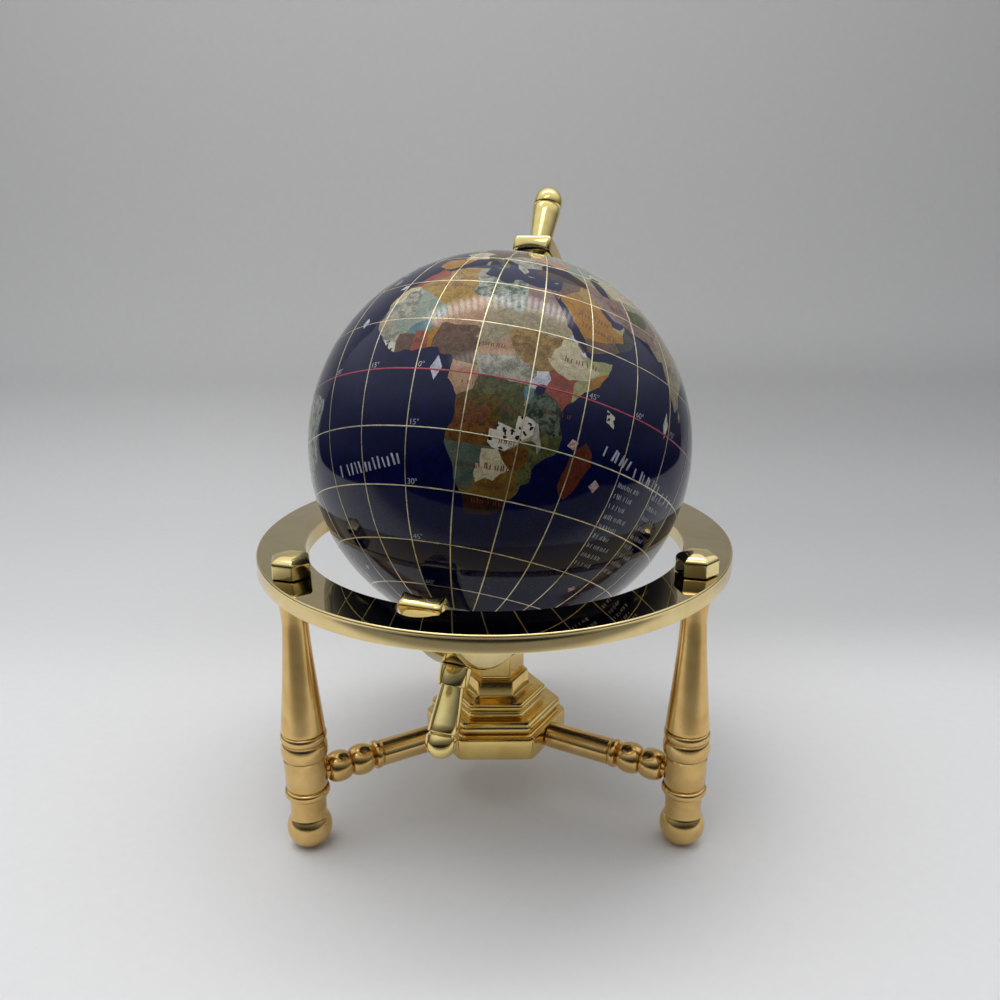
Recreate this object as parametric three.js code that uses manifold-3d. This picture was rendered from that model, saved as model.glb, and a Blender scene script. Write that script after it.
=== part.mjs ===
// A gemstone globe on a polished brass stand: a stone ball on two pins, a curved arm, a flat
// horizon ring, three turned legs tied to a six-sided hub, and an acorn nut on each leg.
// Millimetres, Z up. The floor is at zero and the stand's centre line is the Z axis.
import * as THREE from 'three';
import { mergeVertices } from 'three/addons/utils/BufferGeometryUtils.js';
import Module from 'manifold-3d';

const wasm = await Module();
wasm.setup();

const degree = Math.PI / 180;
const halfTurn = Math.PI;
const fullTurn = 2 * Math.PI;

// Gaps between pieces
const seatGap = 0.3;
const runningGap = 0.05;

// How far a cut runs past the face it opens
const cutMargin = 1;

// Globe
const globeRadius = 55;
const globeShift = 1.8;
const axisTilt = 33 * degree;
const axisHeading = 69.4 * degree;
const poleHoleDepth = 11;

// Curved arm that carries the globe
const armGap = 4.4;
const armThickness = 5.4;
const armWidth = 11.8;
const armEdgeRound = 1.1;
const armHollowDepth = 1.2;
const armPastNorthPole = 7 * degree;
const armPastSouthPole = 32.5 * degree;
const armSeatHeight = 47.7;
const armInnerRadius = globeRadius + armGap;
const armOuterRadius = armInnerRadius + armThickness;
const globeHeight = armSeatHeight + armOuterRadius;
const globeCentre = new THREE.Vector3(globeShift, 0, globeHeight);

// Finials, one at each pole
const pinRadius = 2;
const pinEndGap = 2;
const rodBaseRadius = 3.4;
const rodTipRadius = 4.05;
const rodLength = 12.8;
const rodGrooveDepth = 0.45;
const rodGrooveWidth = 0.7;
const domeStraight = 1.8;
const domeHeight = 4.3;
const collarRadius = 4.35;
const collarLength = 5.7;
const collarRound = 0.25;

// Horizon ring
const ringClearance = 0.7;
const ringWidth = 14;
const ringDrop = 27.8;
const ringThickness = 5;
const ringLip = 0.8;
const ringEdgeRound = 0.4;
const ringInnerRadius = globeRadius + ringClearance;
const ringOuterRadius = ringInnerRadius + ringWidth;
const ringTop = globeHeight - ringDrop;
const ringBottom = ringTop - ringThickness;

// Slots in the ring that the arm passes through
const slotSideGap = 0.6;
const slotWidth = armWidth + 2 * slotSideGap;
const slotEndInset = 1.9;
const slotEnd = armOuterRadius - slotEndInset;

// Legs
const legInset = 6.7;
const legCircle = ringOuterRadius - legInset;
const legHeadings = { right: -30 * degree, left: 210 * degree, back: 90 * degree };
const footRadius = 6.5;
const footCentre = 6.1;
const neckTop = 16.6;
const neckRadius = 5.25;
const lowBeadTop = 19.4;
const lowBeadRadius = 6.5;
const shaftTop = 29.2;
const shaftLowRadius = 5.9;
const shaftHighRadius = 6.15;
const wideBeadTop = 34.6;
const wideBeadRadius = 6.65;
const thinBeadTop = 37.5;
const thinBeadRadius = 6.6;
const taperLowRadius = 6.25;
const headLength = 9.5;
const waistHeight = ringBottom - seatGap - headLength;
const waistRadius = 3.6;
const headRadius = 4.7;
const beadCrease = 0.4;
const studRadius = 2;
const studEndGap = 0.6;

// Acorn nuts on top of the legs
const nutSides = 6;
const nutRadius = 5.9;
const nutFlatHeight = 3.3;
const nutHeight = 6.2;
const nutBoreDepth = 3.8;
const nutTurns = { right: 14 * degree, left: 12 * degree, back: 0 };

// Hub, measured to its corners
const hubSides = 6;
const hubBottom = 19.2;
const hubEdgeRound = 0.9;
const plinthRadius = 22.2;
const plinthTop = 26.2;
const lowRollRadius = 20.6;
const lowRollTop = 30.5;
const lowRollDepth = 1.9;
const coveRadius = 14.6;
const coveTop = 31.8;
const highRollRadius = 15.9;
const highRollTop = 35.1;
const panelLowRadius = 10.6;
const panelHighRadius = 10.1;
const panelFoot = 35.8;
const panelTop = 40.3;
const throatRadius = 8.6;
const throatTop = 41.2;
const capRadius = 9;
const hubTop = armSeatHeight + armThickness;

// Stretchers, measured along their length from the stand's centre line
const stretcherHeight = 22.6;
const stretcherRadius = 3.9;
const tenonRadius = 2.5;
const hubTenonDepth = 4;
const legTenonDepth = 3;
const tenonEndGap = 0.5;
const ballLength = 6.9;
const ballRadius = 4.6;
const ballCreaseRadius = 2.9;
const bandLength = 2.1;
const bandRadius = 4.25;
const bandGap = 0.5;
const ballStart = legCircle - shaftHighRadius - seatGap - 2 * ballLength;
const bandEnd = ballStart - bandGap;
const bandStart = bandEnd - bandLength;

// Fineness of the curves
const globeSteps = 44;
const ringSteps = 72;
const armSteps = 72;
const legSteps = 18;
const rodSteps = 18;
const stretcherSteps = 16;
const boreSteps = 16;
const slotSteps = 6;
const cornerSteps = 2;
const beadSteps = 4;
const domeSteps = 4;
const weldDistance = 1e-4;

// Finishes
const brassColour = 0xcdb067;
const brassRoughness = 0.22;
const oceanColour = 0x10183a;
const oceanRoughness = 0.12;

const brass = { color: brassColour, roughness: brassRoughness, metalness: 1 };
const ocean = { color: oceanColour, roughness: oceanRoughness, metalness: 0 };

// Merges the seams, drops triangles with no area and turns the faces outwards.
function closeUp(geometry) {
  geometry.deleteAttribute('normal');
  geometry.deleteAttribute('uv');
  const merged = mergeVertices(geometry, weldDistance);
  const place = merged.attributes.position;
  const corners = [];
  const a = new THREE.Vector3();
  const b = new THREE.Vector3();
  const c = new THREE.Vector3();
  let volume = 0;
  for (let i = 0; i < merged.index.count; i += 3) {
    const [p, q, r] = [0, 1, 2].map((step) => merged.index.getX(i + step));
    if (p === q || q === r || r === p) {
      continue;
    }
    corners.push([p, q, r]);
    a.fromBufferAttribute(place, p);
    b.fromBufferAttribute(place, q);
    c.fromBufferAttribute(place, r);
    volume += a.dot(b.cross(c));
  }
  const facing = corners.map(([p, q, r]) => (volume < 0 ? [p, r, q] : [p, q, r]));
  merged.setIndex(facing.flat());
  return merged;
}

function toSolid(geometry) {
  const closed = closeUp(geometry);
  return new wasm.Manifold(new wasm.Mesh({
    numProp: 3,
    vertProperties: new Float32Array(closed.attributes.position.array),
    triVerts: new Uint32Array(closed.index.array),
  }));
}

function toMesh(name, solid, finish) {
  const shape = solid.getMesh();
  const geometry = new THREE.BufferGeometry();
  geometry.setAttribute('position', new THREE.BufferAttribute(shape.vertProperties, 3));
  geometry.setIndex(new THREE.BufferAttribute(shape.triVerts, 1));
  geometry.computeVertexNormals();
  const mesh = new THREE.Mesh(geometry, new THREE.MeshStandardMaterial(finish));
  mesh.name = name;
  return mesh;
}

// A profile of [radius, height] points turned about the Z axis.
function turned(profile, steps, start = 0) {
  const points = profile.map(([radius, height]) => new THREE.Vector2(radius, height));
  return new THREE.LatheGeometry(points, steps, start, fullTurn).rotateX(halfTurn / 2);
}

// Any part of an ellipse, as profile points.
function curve(radius, height, across, along, from, to, steps) {
  return Array.from({ length: steps + 1 }, (_, i) => {
    const angle = from + (to - from) * i / steps;
    return [radius + across * Math.cos(angle), height + along * Math.sin(angle)];
  });
}

// A rounded moulding that swells from its two creases to its full radius.
function bead(radius, low, high, crease) {
  const middle = (low + high) / 2;
  const half = (high - low) / 2;
  return curve(radius - crease, middle, crease, half, -halfTurn / 2, halfTurn / 2, beadSteps);
}

function cylinder(radius, from, to) {
  const profile = [[0, from], [radius, from], [radius, to], [0, to]];
  return turned(profile, boreSteps);
}

// Swings a shape built along Z onto the globe's axis, towards the north or the south pole.
function alongGlobeAxis(geometry, towardsSouth) {
  if (towardsSouth) {
    geometry.rotateY(halfTurn);
  }
  geometry.rotateY(axisTilt);
  geometry.rotateZ(axisHeading);
  return geometry.translate(globeCentre.x, globeCentre.y, globeCentre.z);
}

function poleHole(radius, from, to, towardsSouth) {
  return toSolid(alongGlobeAxis(cylinder(radius, from, to), towardsSouth));
}

function globeBall() {
  const ball = new THREE.SphereGeometry(globeRadius, globeSteps, globeSteps / 2);
  let solid = toSolid(alongGlobeAxis(ball.rotateX(halfTurn / 2), false));
  for (const towardsSouth of [false, true]) {
    const bottom = globeRadius - poleHoleDepth;
    const top = globeRadius + cutMargin;
    const hole = poleHole(pinRadius + runningGap, bottom, top, towardsSouth);
    solid = solid.subtract(hole);
  }
  return toMesh('globe_ball', solid, ocean);
}

// The arm is a full hoop with its mouth cut away, standing in the plane of the globe's axis.
function meridianArm() {
  const half = armWidth / 2;
  const flat = half - armEdgeRound;
  const rim = armOuterRadius - armEdgeRound;
  const upperCorner = curve(rim, flat, armEdgeRound, armEdgeRound, 0, halfTurn / 2, cornerSteps);
  const lowerCorner = curve(rim, -flat, armEdgeRound, armEdgeRound, -halfTurn / 2, 0, cornerSteps);
  const hollow = curve(armInnerRadius, 0, armHollowDepth, flat, halfTurn / 2, -halfTurn / 2, beadSteps);
  const innerTop = [armInnerRadius, half];
  const innerBottom = [armInnerRadius, -half];
  const section = [...lowerCorner, ...upperCorner, innerTop, ...hollow, innerBottom, lowerCorner[0]];
  const points = section.map(([radius, across]) => new THREE.Vector2(radius, across));
  const hoop = new THREE.LatheGeometry(points, armSteps);

  const northEnd = axisTilt - armPastNorthPole;
  const southEnd = axisTilt + halfTurn + armPastSouthPole;
  const mouth = northEnd + fullTurn - southEnd;
  const reach = 2 * armOuterRadius;
  const wedge = new THREE.Shape([new THREE.Vector2(0, 0)]);
  for (const share of [0, 1 / 3, 2 / 3, 1]) {
    const angle = southEnd + mouth * share;
    wedge.lineTo(reach * Math.sin(angle), reach * Math.cos(angle));
  }
  const cut = new THREE.ExtrudeGeometry(wedge, { depth: 2 * armWidth, bevelEnabled: false });
  cut.rotateX(halfTurn / 2).translate(0, armWidth, 0);

  const pieces = [hoop, cut].map((geometry) => {
    geometry.rotateZ(axisHeading);
    return toSolid(geometry.translate(globeCentre.x, globeCentre.y, globeCentre.z));
  });
  let solid = pieces[0].subtract(pieces[1]);
  for (const towardsSouth of [false, true]) {
    const from = armInnerRadius - armThickness;
    const to = armOuterRadius + armThickness;
    solid = solid.subtract(poleHole(pinRadius + seatGap, from, to, towardsSouth));
  }
  return toMesh('meridian_arm', solid, brass);
}

// A tapered rod with a groove and a domed end, on a pin that runs through the arm to the globe.
function finial(name, towardsSouth, collar) {
  const pinEnd = globeRadius - poleHoleDepth + pinEndGap;
  const seat = armOuterRadius + seatGap;
  const rodStart = seat + collar;
  const rodEnd = rodStart + rodLength;
  const grooveRadius = rodTipRadius - rodGrooveDepth;
  const domeStart = rodEnd + rodGrooveWidth + domeStraight;
  const profile = [[0, pinEnd], [pinRadius, pinEnd], [pinRadius, seat]];
  if (collar > 0) {
    profile.push([collarRadius - collarRound, seat]);
    profile.push([collarRadius, seat + collarRound]);
    profile.push([collarRadius, rodStart - collarRound]);
    profile.push([collarRadius - collarRound, rodStart]);
  }
  profile.push([rodBaseRadius, rodStart]);
  profile.push([rodTipRadius, rodEnd]);
  profile.push([grooveRadius, rodEnd + rodGrooveWidth / 3]);
  profile.push([grooveRadius, rodEnd + rodGrooveWidth * 2 / 3]);
  profile.push([rodTipRadius, rodEnd + rodGrooveWidth]);
  profile.push(...curve(0, domeStart, rodTipRadius, domeHeight, 0, halfTurn / 2, domeSteps));
  const geometry = alongGlobeAxis(turned(profile, rodSteps), towardsSouth);
  return toMesh(name, toSolid(geometry), brass);
}

function horizonRing() {
  const lipRadius = ringOuterRadius - ringLip;
  const lipMiddle = ringTop - ringLip;
  const round = ringEdgeRound;
  const section = [
    [ringInnerRadius, ringTop],
    [ringInnerRadius, ringBottom],
    [ringOuterRadius - round, ringBottom],
    [ringOuterRadius, ringBottom + round],
    ...curve(lipRadius, lipMiddle, ringLip, ringLip, 0, halfTurn / 2, cornerSteps),
    [ringInnerRadius, ringTop],
  ];
  let solid = toSolid(turned(section, ringSteps));
  for (const heading of Object.values(legHeadings)) {
    const hole = cylinder(studRadius + seatGap, ringBottom - cutMargin, ringTop + cutMargin);
    hole.translate(legCircle * Math.cos(heading), legCircle * Math.sin(heading), 0);
    solid = solid.subtract(toSolid(hole));
  }
  for (const heading of [axisHeading, axisHeading + halfTurn]) {
    const slot = new THREE.Shape();
    const half = slotWidth / 2;
    const centre = slotEnd - half;
    slot.moveTo(0, -half);
    slot.lineTo(centre, -half);
    slot.absarc(centre, 0, half, -halfTurn / 2, halfTurn / 2, false);
    slot.lineTo(0, half);
    const cut = new THREE.ExtrudeGeometry(slot, {
      depth: ringThickness + 2 * cutMargin,
      bevelEnabled: false,
      curveSegments: slotSteps,
    });
    cut.rotateZ(heading).translate(globeCentre.x, globeCentre.y, ringBottom - cutMargin);
    solid = solid.subtract(toSolid(cut));
  }
  return toMesh('horizon_ring', solid, brass);
}

// A turned leg with a ball foot, three beads, a long taper and a stud through the ring.
function leg(name, heading) {
  const footFlat = Math.sqrt(footRadius ** 2 - footCentre ** 2);
  const footFrom = -Math.acos(footFlat / footRadius);
  const footTo = Math.acos(neckRadius / footRadius);
  const headTop = ringBottom - seatGap;
  const studEnd = ringTop + seatGap + nutBoreDepth - studEndGap;
  const taperHeight = waistHeight - thinBeadTop;
  const profile = [
    [0, 0],
    ...curve(0, footCentre, footRadius, footRadius, footFrom, footTo, 2 * beadSteps),
    [neckRadius, neckTop],
    ...bead(lowBeadRadius, neckTop, lowBeadTop, lowBeadRadius - shaftLowRadius + beadCrease),
    [shaftLowRadius, lowBeadTop + beadCrease],
    [shaftHighRadius, shaftTop - beadCrease],
    ...bead(wideBeadRadius, shaftTop, wideBeadTop, wideBeadRadius - shaftHighRadius + beadCrease),
    ...bead(thinBeadRadius, wideBeadTop, thinBeadTop, thinBeadRadius - taperLowRadius + beadCrease),
    [taperLowRadius, thinBeadTop + beadCrease],
    [(taperLowRadius + waistRadius) / 2, thinBeadTop + taperHeight / 2],
    [waistRadius, waistHeight],
    ...curve(headRadius, waistHeight, waistRadius - headRadius, headTop - waistHeight,
      0, halfTurn / 2, domeSteps).slice(1),
    [studRadius, headTop],
    [studRadius, studEnd],
    [0, studEnd],
  ];
  let solid = toSolid(turned(profile, legSteps));
  const mortise = cylinder(tenonRadius + seatGap, footRadius - legTenonDepth, 2 * footRadius);
  mortise.rotateY(-halfTurn / 2).translate(0, 0, stretcherHeight);
  solid = solid.subtract(toSolid(mortise));
  solid = solid.rotate([0, 0, heading / degree]);
  solid = solid.translate([legCircle * Math.cos(heading), legCircle * Math.sin(heading), 0]);
  return toMesh(name, solid, brass);
}

function acornNut(name, heading, turn) {
  const domeRise = nutHeight - nutFlatHeight;
  const body = turned([
    [0, 0],
    [nutRadius, 0],
    ...curve(0, nutFlatHeight, nutRadius, domeRise, 0, halfTurn / 2, domeSteps),
  ], nutSides);
  body.rotateZ(turn - halfTurn / 2);
  const bore = toSolid(cylinder(studRadius + seatGap, -cutMargin, nutBoreDepth));
  let solid = toSolid(body).subtract(bore);
  const x = legCircle * Math.cos(heading);
  const y = legCircle * Math.sin(heading);
  solid = solid.translate([x, y, ringTop + seatGap]);
  return toMesh(name, solid, brass);
}

// A stepped six-sided block with rolls between its tiers. Its top is hollowed to seat the arm.
function hub() {
  const round = hubEdgeRound;
  const profile = [
    [0, hubBottom],
    [plinthRadius - round, hubBottom],
    [plinthRadius, hubBottom + round],
    [plinthRadius, plinthTop - round / 2],
    [plinthRadius - round / 2, plinthTop],
    ...bead(lowRollRadius, plinthTop, lowRollTop, lowRollDepth),
    [coveRadius + round, lowRollTop],
    [coveRadius, coveTop - round],
    ...bead(highRollRadius, coveTop, highRollTop, highRollRadius - coveRadius),
    [panelLowRadius + round, highRollTop],
    [panelLowRadius, panelFoot],
    [panelHighRadius, panelTop],
    [throatRadius, panelTop],
    [throatRadius, throatTop],
    [capRadius, throatTop],
    [capRadius, hubTop],
    [0, hubTop],
  ];
  let solid = toSolid(turned(profile, hubSides, halfTurn / hubSides));
  const seatRadius = armOuterRadius + seatGap;
  const seat = new THREE.CylinderGeometry(seatRadius, seatRadius, 2 * plinthRadius, armSteps);
  seat.rotateZ(axisHeading).translate(globeCentre.x, globeCentre.y, globeCentre.z);
  solid = solid.subtract(toSolid(seat));
  for (const heading of Object.values(legHeadings)) {
    const flat = plinthRadius * Math.cos(halfTurn / hubSides);
    const mortise = cylinder(tenonRadius + seatGap, flat - hubTenonDepth, 2 * flat);
    mortise.rotateY(halfTurn / 2).rotateZ(heading).translate(0, 0, stretcherHeight);
    solid = solid.subtract(toSolid(mortise));
  }
  return toMesh('hub', solid, brass);
}

// A round bar from the hub to a leg, with a band and two balls at the leg's end.
function stretcher(name, heading) {
  const flat = plinthRadius * Math.cos(halfTurn / hubSides);
  const start = flat + seatGap;
  const tenonStart = flat - hubTenonDepth + tenonEndGap;
  const tenonEnd = legCircle - footRadius + legTenonDepth - tenonEndGap;
  const crease = ballRadius - ballCreaseRadius;
  const firstEnd = ballStart + ballLength;
  const profile = [
    [0, tenonStart],
    [tenonRadius, tenonStart],
    [tenonRadius, start],
    [stretcherRadius, start],
    [stretcherRadius, bandStart],
    ...bead(bandRadius, bandStart, bandEnd, bandRadius - stretcherRadius),
    [ballCreaseRadius, bandEnd],
    ...bead(ballRadius, ballStart, firstEnd, crease),
    ...bead(ballRadius, firstEnd, firstEnd + ballLength, crease),
    [tenonRadius, firstEnd + ballLength],
    [tenonRadius, tenonEnd],
    [0, tenonEnd],
  ];
  const bar = turned(profile, stretcherSteps).rotateY(halfTurn / 2).rotateZ(heading);
  return toMesh(name, toSolid(bar.translate(0, 0, stretcherHeight)), brass);
}

const model = new THREE.Group();
model.name = 'gemstone_globe';
model.add(globeBall());
model.add(meridianArm());
model.add(finial('finial_north', false, 0));
model.add(finial('finial_south', true, collarLength));
model.add(horizonRing());
model.add(hub());
for (const [side, heading] of Object.entries(legHeadings)) {
  model.add(leg(`leg_${side}`, heading));
  model.add(acornNut(`acorn_nut_${side}`, heading, nutTurns[side]));
  model.add(stretcher(`stretcher_${side}`, heading));
}

export default model;
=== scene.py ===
import math
import random

import bpy
import numpy as np
from mathutils import Matrix, Vector, noise
from mathutils.geometry import delaunay_2d_cdt


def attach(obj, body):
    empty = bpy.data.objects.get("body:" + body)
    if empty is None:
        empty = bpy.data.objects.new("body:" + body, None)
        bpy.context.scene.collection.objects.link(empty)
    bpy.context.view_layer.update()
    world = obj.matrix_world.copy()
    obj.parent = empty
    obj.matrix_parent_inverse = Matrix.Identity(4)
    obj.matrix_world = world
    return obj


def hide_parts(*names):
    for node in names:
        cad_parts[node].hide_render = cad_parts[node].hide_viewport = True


# A gemstone globe on a brass stand. Sizes are in millimetres unless a note says otherwise.

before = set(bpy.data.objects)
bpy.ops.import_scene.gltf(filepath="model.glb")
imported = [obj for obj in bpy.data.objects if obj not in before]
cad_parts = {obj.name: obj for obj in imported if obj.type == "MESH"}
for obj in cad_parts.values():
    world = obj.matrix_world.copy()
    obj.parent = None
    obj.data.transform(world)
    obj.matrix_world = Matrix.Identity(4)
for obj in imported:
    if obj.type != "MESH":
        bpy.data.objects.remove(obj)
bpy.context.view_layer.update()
mm = 0.001
turn = 2 * math.pi


# Building solids from rings of points

# Joins rings of points into one surface, each ring to the next
def skin(name, rings, material, capStart=True, capEnd=True, sharp=38, closed=False):
    count = len(rings[0])
    rows = len(rings) if closed else len(rings) - 1
    vertices = [Vector(point) * mm for ring in rings for point in ring]
    faces = []
    for row in range(rows):
        above = (row + 1) % len(rings)
        for column in range(count):
            beside = (column + 1) % count
            faces.append((row * count + column, row * count + beside,
                          above * count + beside, above * count + column))
    if capStart and not closed:
        faces.append(tuple(reversed(range(count))))
    if capEnd and not closed:
        faces.append(tuple(range((len(rings) - 1) * count, len(rings) * count)))
    mesh = bpy.data.meshes.new(name)
    mesh.from_pydata(vertices, [], faces)
    lengths = [0.0]
    for row in range(len(rings)):
        here, following = rings[row], rings[(row + 1) % len(rings)]
        lengths.append(lengths[-1] + (Vector(following[0]) - Vector(here[0])).length)
    around = mesh.uv_layers.new(name="around")
    for row in range(rows):
        for column in range(count):
            loops = mesh.polygons[row * count + column].loop_indices
            corners = ((column, row), (column + 1, row), (column + 1, row + 1), (column, row + 1))
            for loop, (along, up) in zip(loops, corners):
                around.data[loop].uv = (along / count, lengths[up])
    return finishMesh(mesh, material, sharp)


def finishMesh(mesh, material, sharp=38):
    mesh.validate()
    mesh.materials.append(material)
    mesh.shade_smooth()
    mesh.set_sharp_from_angle(angle=math.radians(sharp))
    piece = bpy.data.objects.new(mesh.name, mesh)
    bpy.context.scene.collection.objects.link(piece)
    return piece


def circle(radius, height, steps):
    return [(radius * math.cos(turn * i / steps), radius * math.sin(turn * i / steps), height)
            for i in range(steps)]


# Corners on the X axis and every sixth of a turn, each one rounded
def roundedHexagon(radius, height, rounding, start=0.0, steps=4):
    points = []
    inset = rounding / math.cos(turn / 12)
    for corner in range(6):
        heading = start + turn * corner / 6
        centre = Vector(((radius - inset) * math.cos(heading), (radius - inset) * math.sin(heading), height))
        for step in range(steps + 1):
            swing = heading + turn / 6 * (step / steps - 0.5)
            points.append(centre + Vector((rounding * math.cos(swing), rounding * math.sin(swing), 0)))
    return points


# A half-round moulding between two heights
def bulge(radius, low, high, depth, steps=10):
    middle, half = (low + high) / 2, (high - low) / 2
    return [(radius - depth + depth * math.cos(a), middle + half * math.sin(a))
            for a in (math.pi * (i / steps - 0.5) for i in range(steps + 1))]


# A lathe shape. The profile lists (radius, height) from one end to the other
def turnedPiece(name, profile, material, place=Matrix(), steps=72, sharp=38):
    rings = [[place @ Vector(point) for point in circle(radius, height, steps)] for radius, height in profile]
    return skin(name, rings, material, sharp=sharp)


# A soft curve through the given profile points
def smoothProfile(points, steps=6):
    result = []
    for i in range(len(points) - 1):
        before = Vector(points[max(i - 1, 0)])
        here, following = Vector(points[i]), Vector(points[i + 1])
        after = Vector(points[min(i + 2, len(points) - 1)])
        for step in range(steps):
            t = step / steps
            blendIn = (following - before) / 2
            blendOut = (after - here) / 2
            point = (here * (2 * t**3 - 3 * t**2 + 1) + blendIn * (t**3 - 2 * t**2 + t)
                     + following * (3 * t**2 - 2 * t**3) + blendOut * (t**3 - t**2))
            result.append((max(point.x, 0.05), point.y))
    return result + [tuple(points[-1])]


def stand(piece, *nodes):
    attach(piece, "stand")
    if nodes:
        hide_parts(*nodes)
    return piece


# Shader helpers

def node(tree, kind, inputs=None, **settings):
    made = tree.nodes.new("ShaderNode" + kind)
    for key, value in settings.items():
        setattr(made, key, value)
    for key, value in (inputs or {}).items():
        if isinstance(value, bpy.types.NodeSocket):
            tree.links.new(value, made.inputs[key])
        else:
            made.inputs[key].default_value = value
    return made


def newMaterial(name):
    material = bpy.data.materials.new(name)
    material.use_nodes = True
    tree = material.node_tree
    shader = tree.nodes["Principled BSDF"]
    return material, tree, shader


def newGroup(name, inputs, outputs):
    tree = bpy.data.node_groups.new(name, "ShaderNodeTree")
    for label, kind, value in inputs:
        socket = tree.interface.new_socket(label, in_out="INPUT", socket_type="NodeSocket" + kind)
        socket.default_value = value
    for label, kind in outputs:
        tree.interface.new_socket(label, in_out="OUTPUT", socket_type="NodeSocket" + kind)
    return tree, tree.nodes.new("NodeGroupInput").outputs, tree.nodes.new("NodeGroupOutput").inputs


def groupNode(tree, group, values):
    made = tree.nodes.new("ShaderNodeGroup")
    made.node_tree = group
    for key, value in values.items():
        made.inputs[key].default_value = value
    return made.outputs


# A colour as seen on screen, 0 to 255, as the linear one the shaders use
def rgb(red, green, blue):
    return tuple((c / 255 / 12.92) if c < 10.3 else ((c / 255 + 0.055) / 1.055)**2.4
                 for c in (red, green, blue)) + (1,)


# Stone figure: clouds, veins and spots inside a base colour

def makeStoneFigure():
    tree, given, out = newGroup("Stone figure", [
        ("Base", "Color", (0.5, 0.5, 0.5, 1)), ("Cloud", "Color", (0.5, 0.5, 0.5, 1)),
        ("Vein", "Color", (0.5, 0.5, 0.5, 1)), ("Spot", "Color", (0, 0, 0, 1)),
        ("Cloud amount", "Float", 0.5), ("Vein amount", "Float", 0.0), ("Spot amount", "Float", 0.0),
        ("Scale", "Float", 1.0), ("Stretch", "Vector", (1, 1, 1)), ("Shift", "Float", 0.0),
    ], [("Color", "Color"), ("Roughness", "Float")])
    place = node(tree, "TexCoord").outputs["Object"]
    sized = node(tree, "VectorMath", {0: place, 1: given["Stretch"]}, operation="MULTIPLY").outputs[0]
    inMillimetres = node(tree, "VectorMath", {0: sized, "Scale": 1000.0}, operation="SCALE").outputs[0]
    scaled = node(tree, "VectorMath", {0: inMillimetres, "Scale": given["Scale"]}, operation="SCALE").outputs[0]
    moved = node(tree, "VectorMath", {0: scaled, 1: given["Shift"]}, operation="ADD").outputs[0]
    drift = node(tree, "TexNoise", {"Vector": moved, "Scale": 0.35, "Detail": 3.0}).outputs["Color"]
    bent = node(tree, "VectorMath", {0: drift, 1: (4.5, 4.5, 4.5), 2: moved}, operation="MULTIPLY_ADD").outputs[0]
    clouds = node(tree, "TexNoise", {"Vector": bent, "Scale": 0.42, "Detail": 6.0, "Roughness": 0.62}).outputs[0]
    cloudMask = node(tree, "MapRange", {"Value": clouds, "From Min": 0.4, "From Max": 0.62},
                     interpolation_type="SMOOTHSTEP").outputs[0]
    cloudShare = node(tree, "Math", {0: cloudMask, 1: given["Cloud amount"]}, operation="MULTIPLY").outputs[0]
    clouded = node(tree, "Mix", {"Factor": cloudShare, 6: given["Base"], 7: given["Cloud"]},
                   data_type="RGBA").outputs[2]
    cracks = node(tree, "TexVoronoi", {"Vector": bent, "Scale": 0.3}, feature="DISTANCE_TO_EDGE").outputs[0]
    veinMask = node(tree, "MapRange", {"Value": cracks, "From Min": 0.0, "From Max": 0.07,
                                       "To Min": 1.0, "To Max": 0.0}).outputs[0]
    broken = node(tree, "TexNoise", {"Vector": moved, "Scale": 0.8, "Detail": 2.0}).outputs[0]
    shown = node(tree, "MapRange", {"Value": broken, "From Min": 0.42, "From Max": 0.58}).outputs[0]
    brokenVeins = node(tree, "Math", {0: veinMask, 1: shown}, operation="MULTIPLY").outputs[0]
    veinShare = node(tree, "Math", {0: brokenVeins, 1: given["Vein amount"]}, operation="MULTIPLY").outputs[0]
    veined = node(tree, "Mix", {"Factor": veinShare, 6: clouded, 7: given["Vein"]}, data_type="RGBA").outputs[2]
    seeds = node(tree, "TexVoronoi", {"Vector": bent, "Scale": 0.34, "Randomness": 1.0}).outputs[0]
    spotMask = node(tree, "MapRange", {"Value": seeds, "From Min": 0.3, "From Max": 0.38,
                                       "To Min": 1.0, "To Max": 0.0}).outputs[0]
    spotShare = node(tree, "Math", {0: spotMask, 1: given["Spot amount"]}, operation="MULTIPLY").outputs[0]
    spotted = node(tree, "Mix", {"Factor": spotShare, 6: veined, 7: given["Spot"]}, data_type="RGBA").outputs[2]
    grain = node(tree, "TexNoise", {"Vector": moved, "Scale": 2.6, "Detail": 4.0, "Roughness": 0.7}).outputs[0]
    shade = node(tree, "MapRange", {"Value": grain, "From Min": 0.3, "From Max": 0.7,
                                    "To Min": 0.66, "To Max": 1.34}).outputs[0]
    shaded = node(tree, "VectorMath", {0: spotted, "Scale": shade}, operation="SCALE").outputs[0]
    tree.links.new(shaded, out["Color"])
    polish = node(tree, "MapRange", {"Value": grain, "From Min": 0.3, "From Max": 0.8,
                                     "To Min": 0.045, "To Max": 0.11}).outputs[0]
    tree.links.new(polish, out["Roughness"])
    return tree


# Worked metal: lines from turning or polishing, cloudy wipe marks, fine pits

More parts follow.
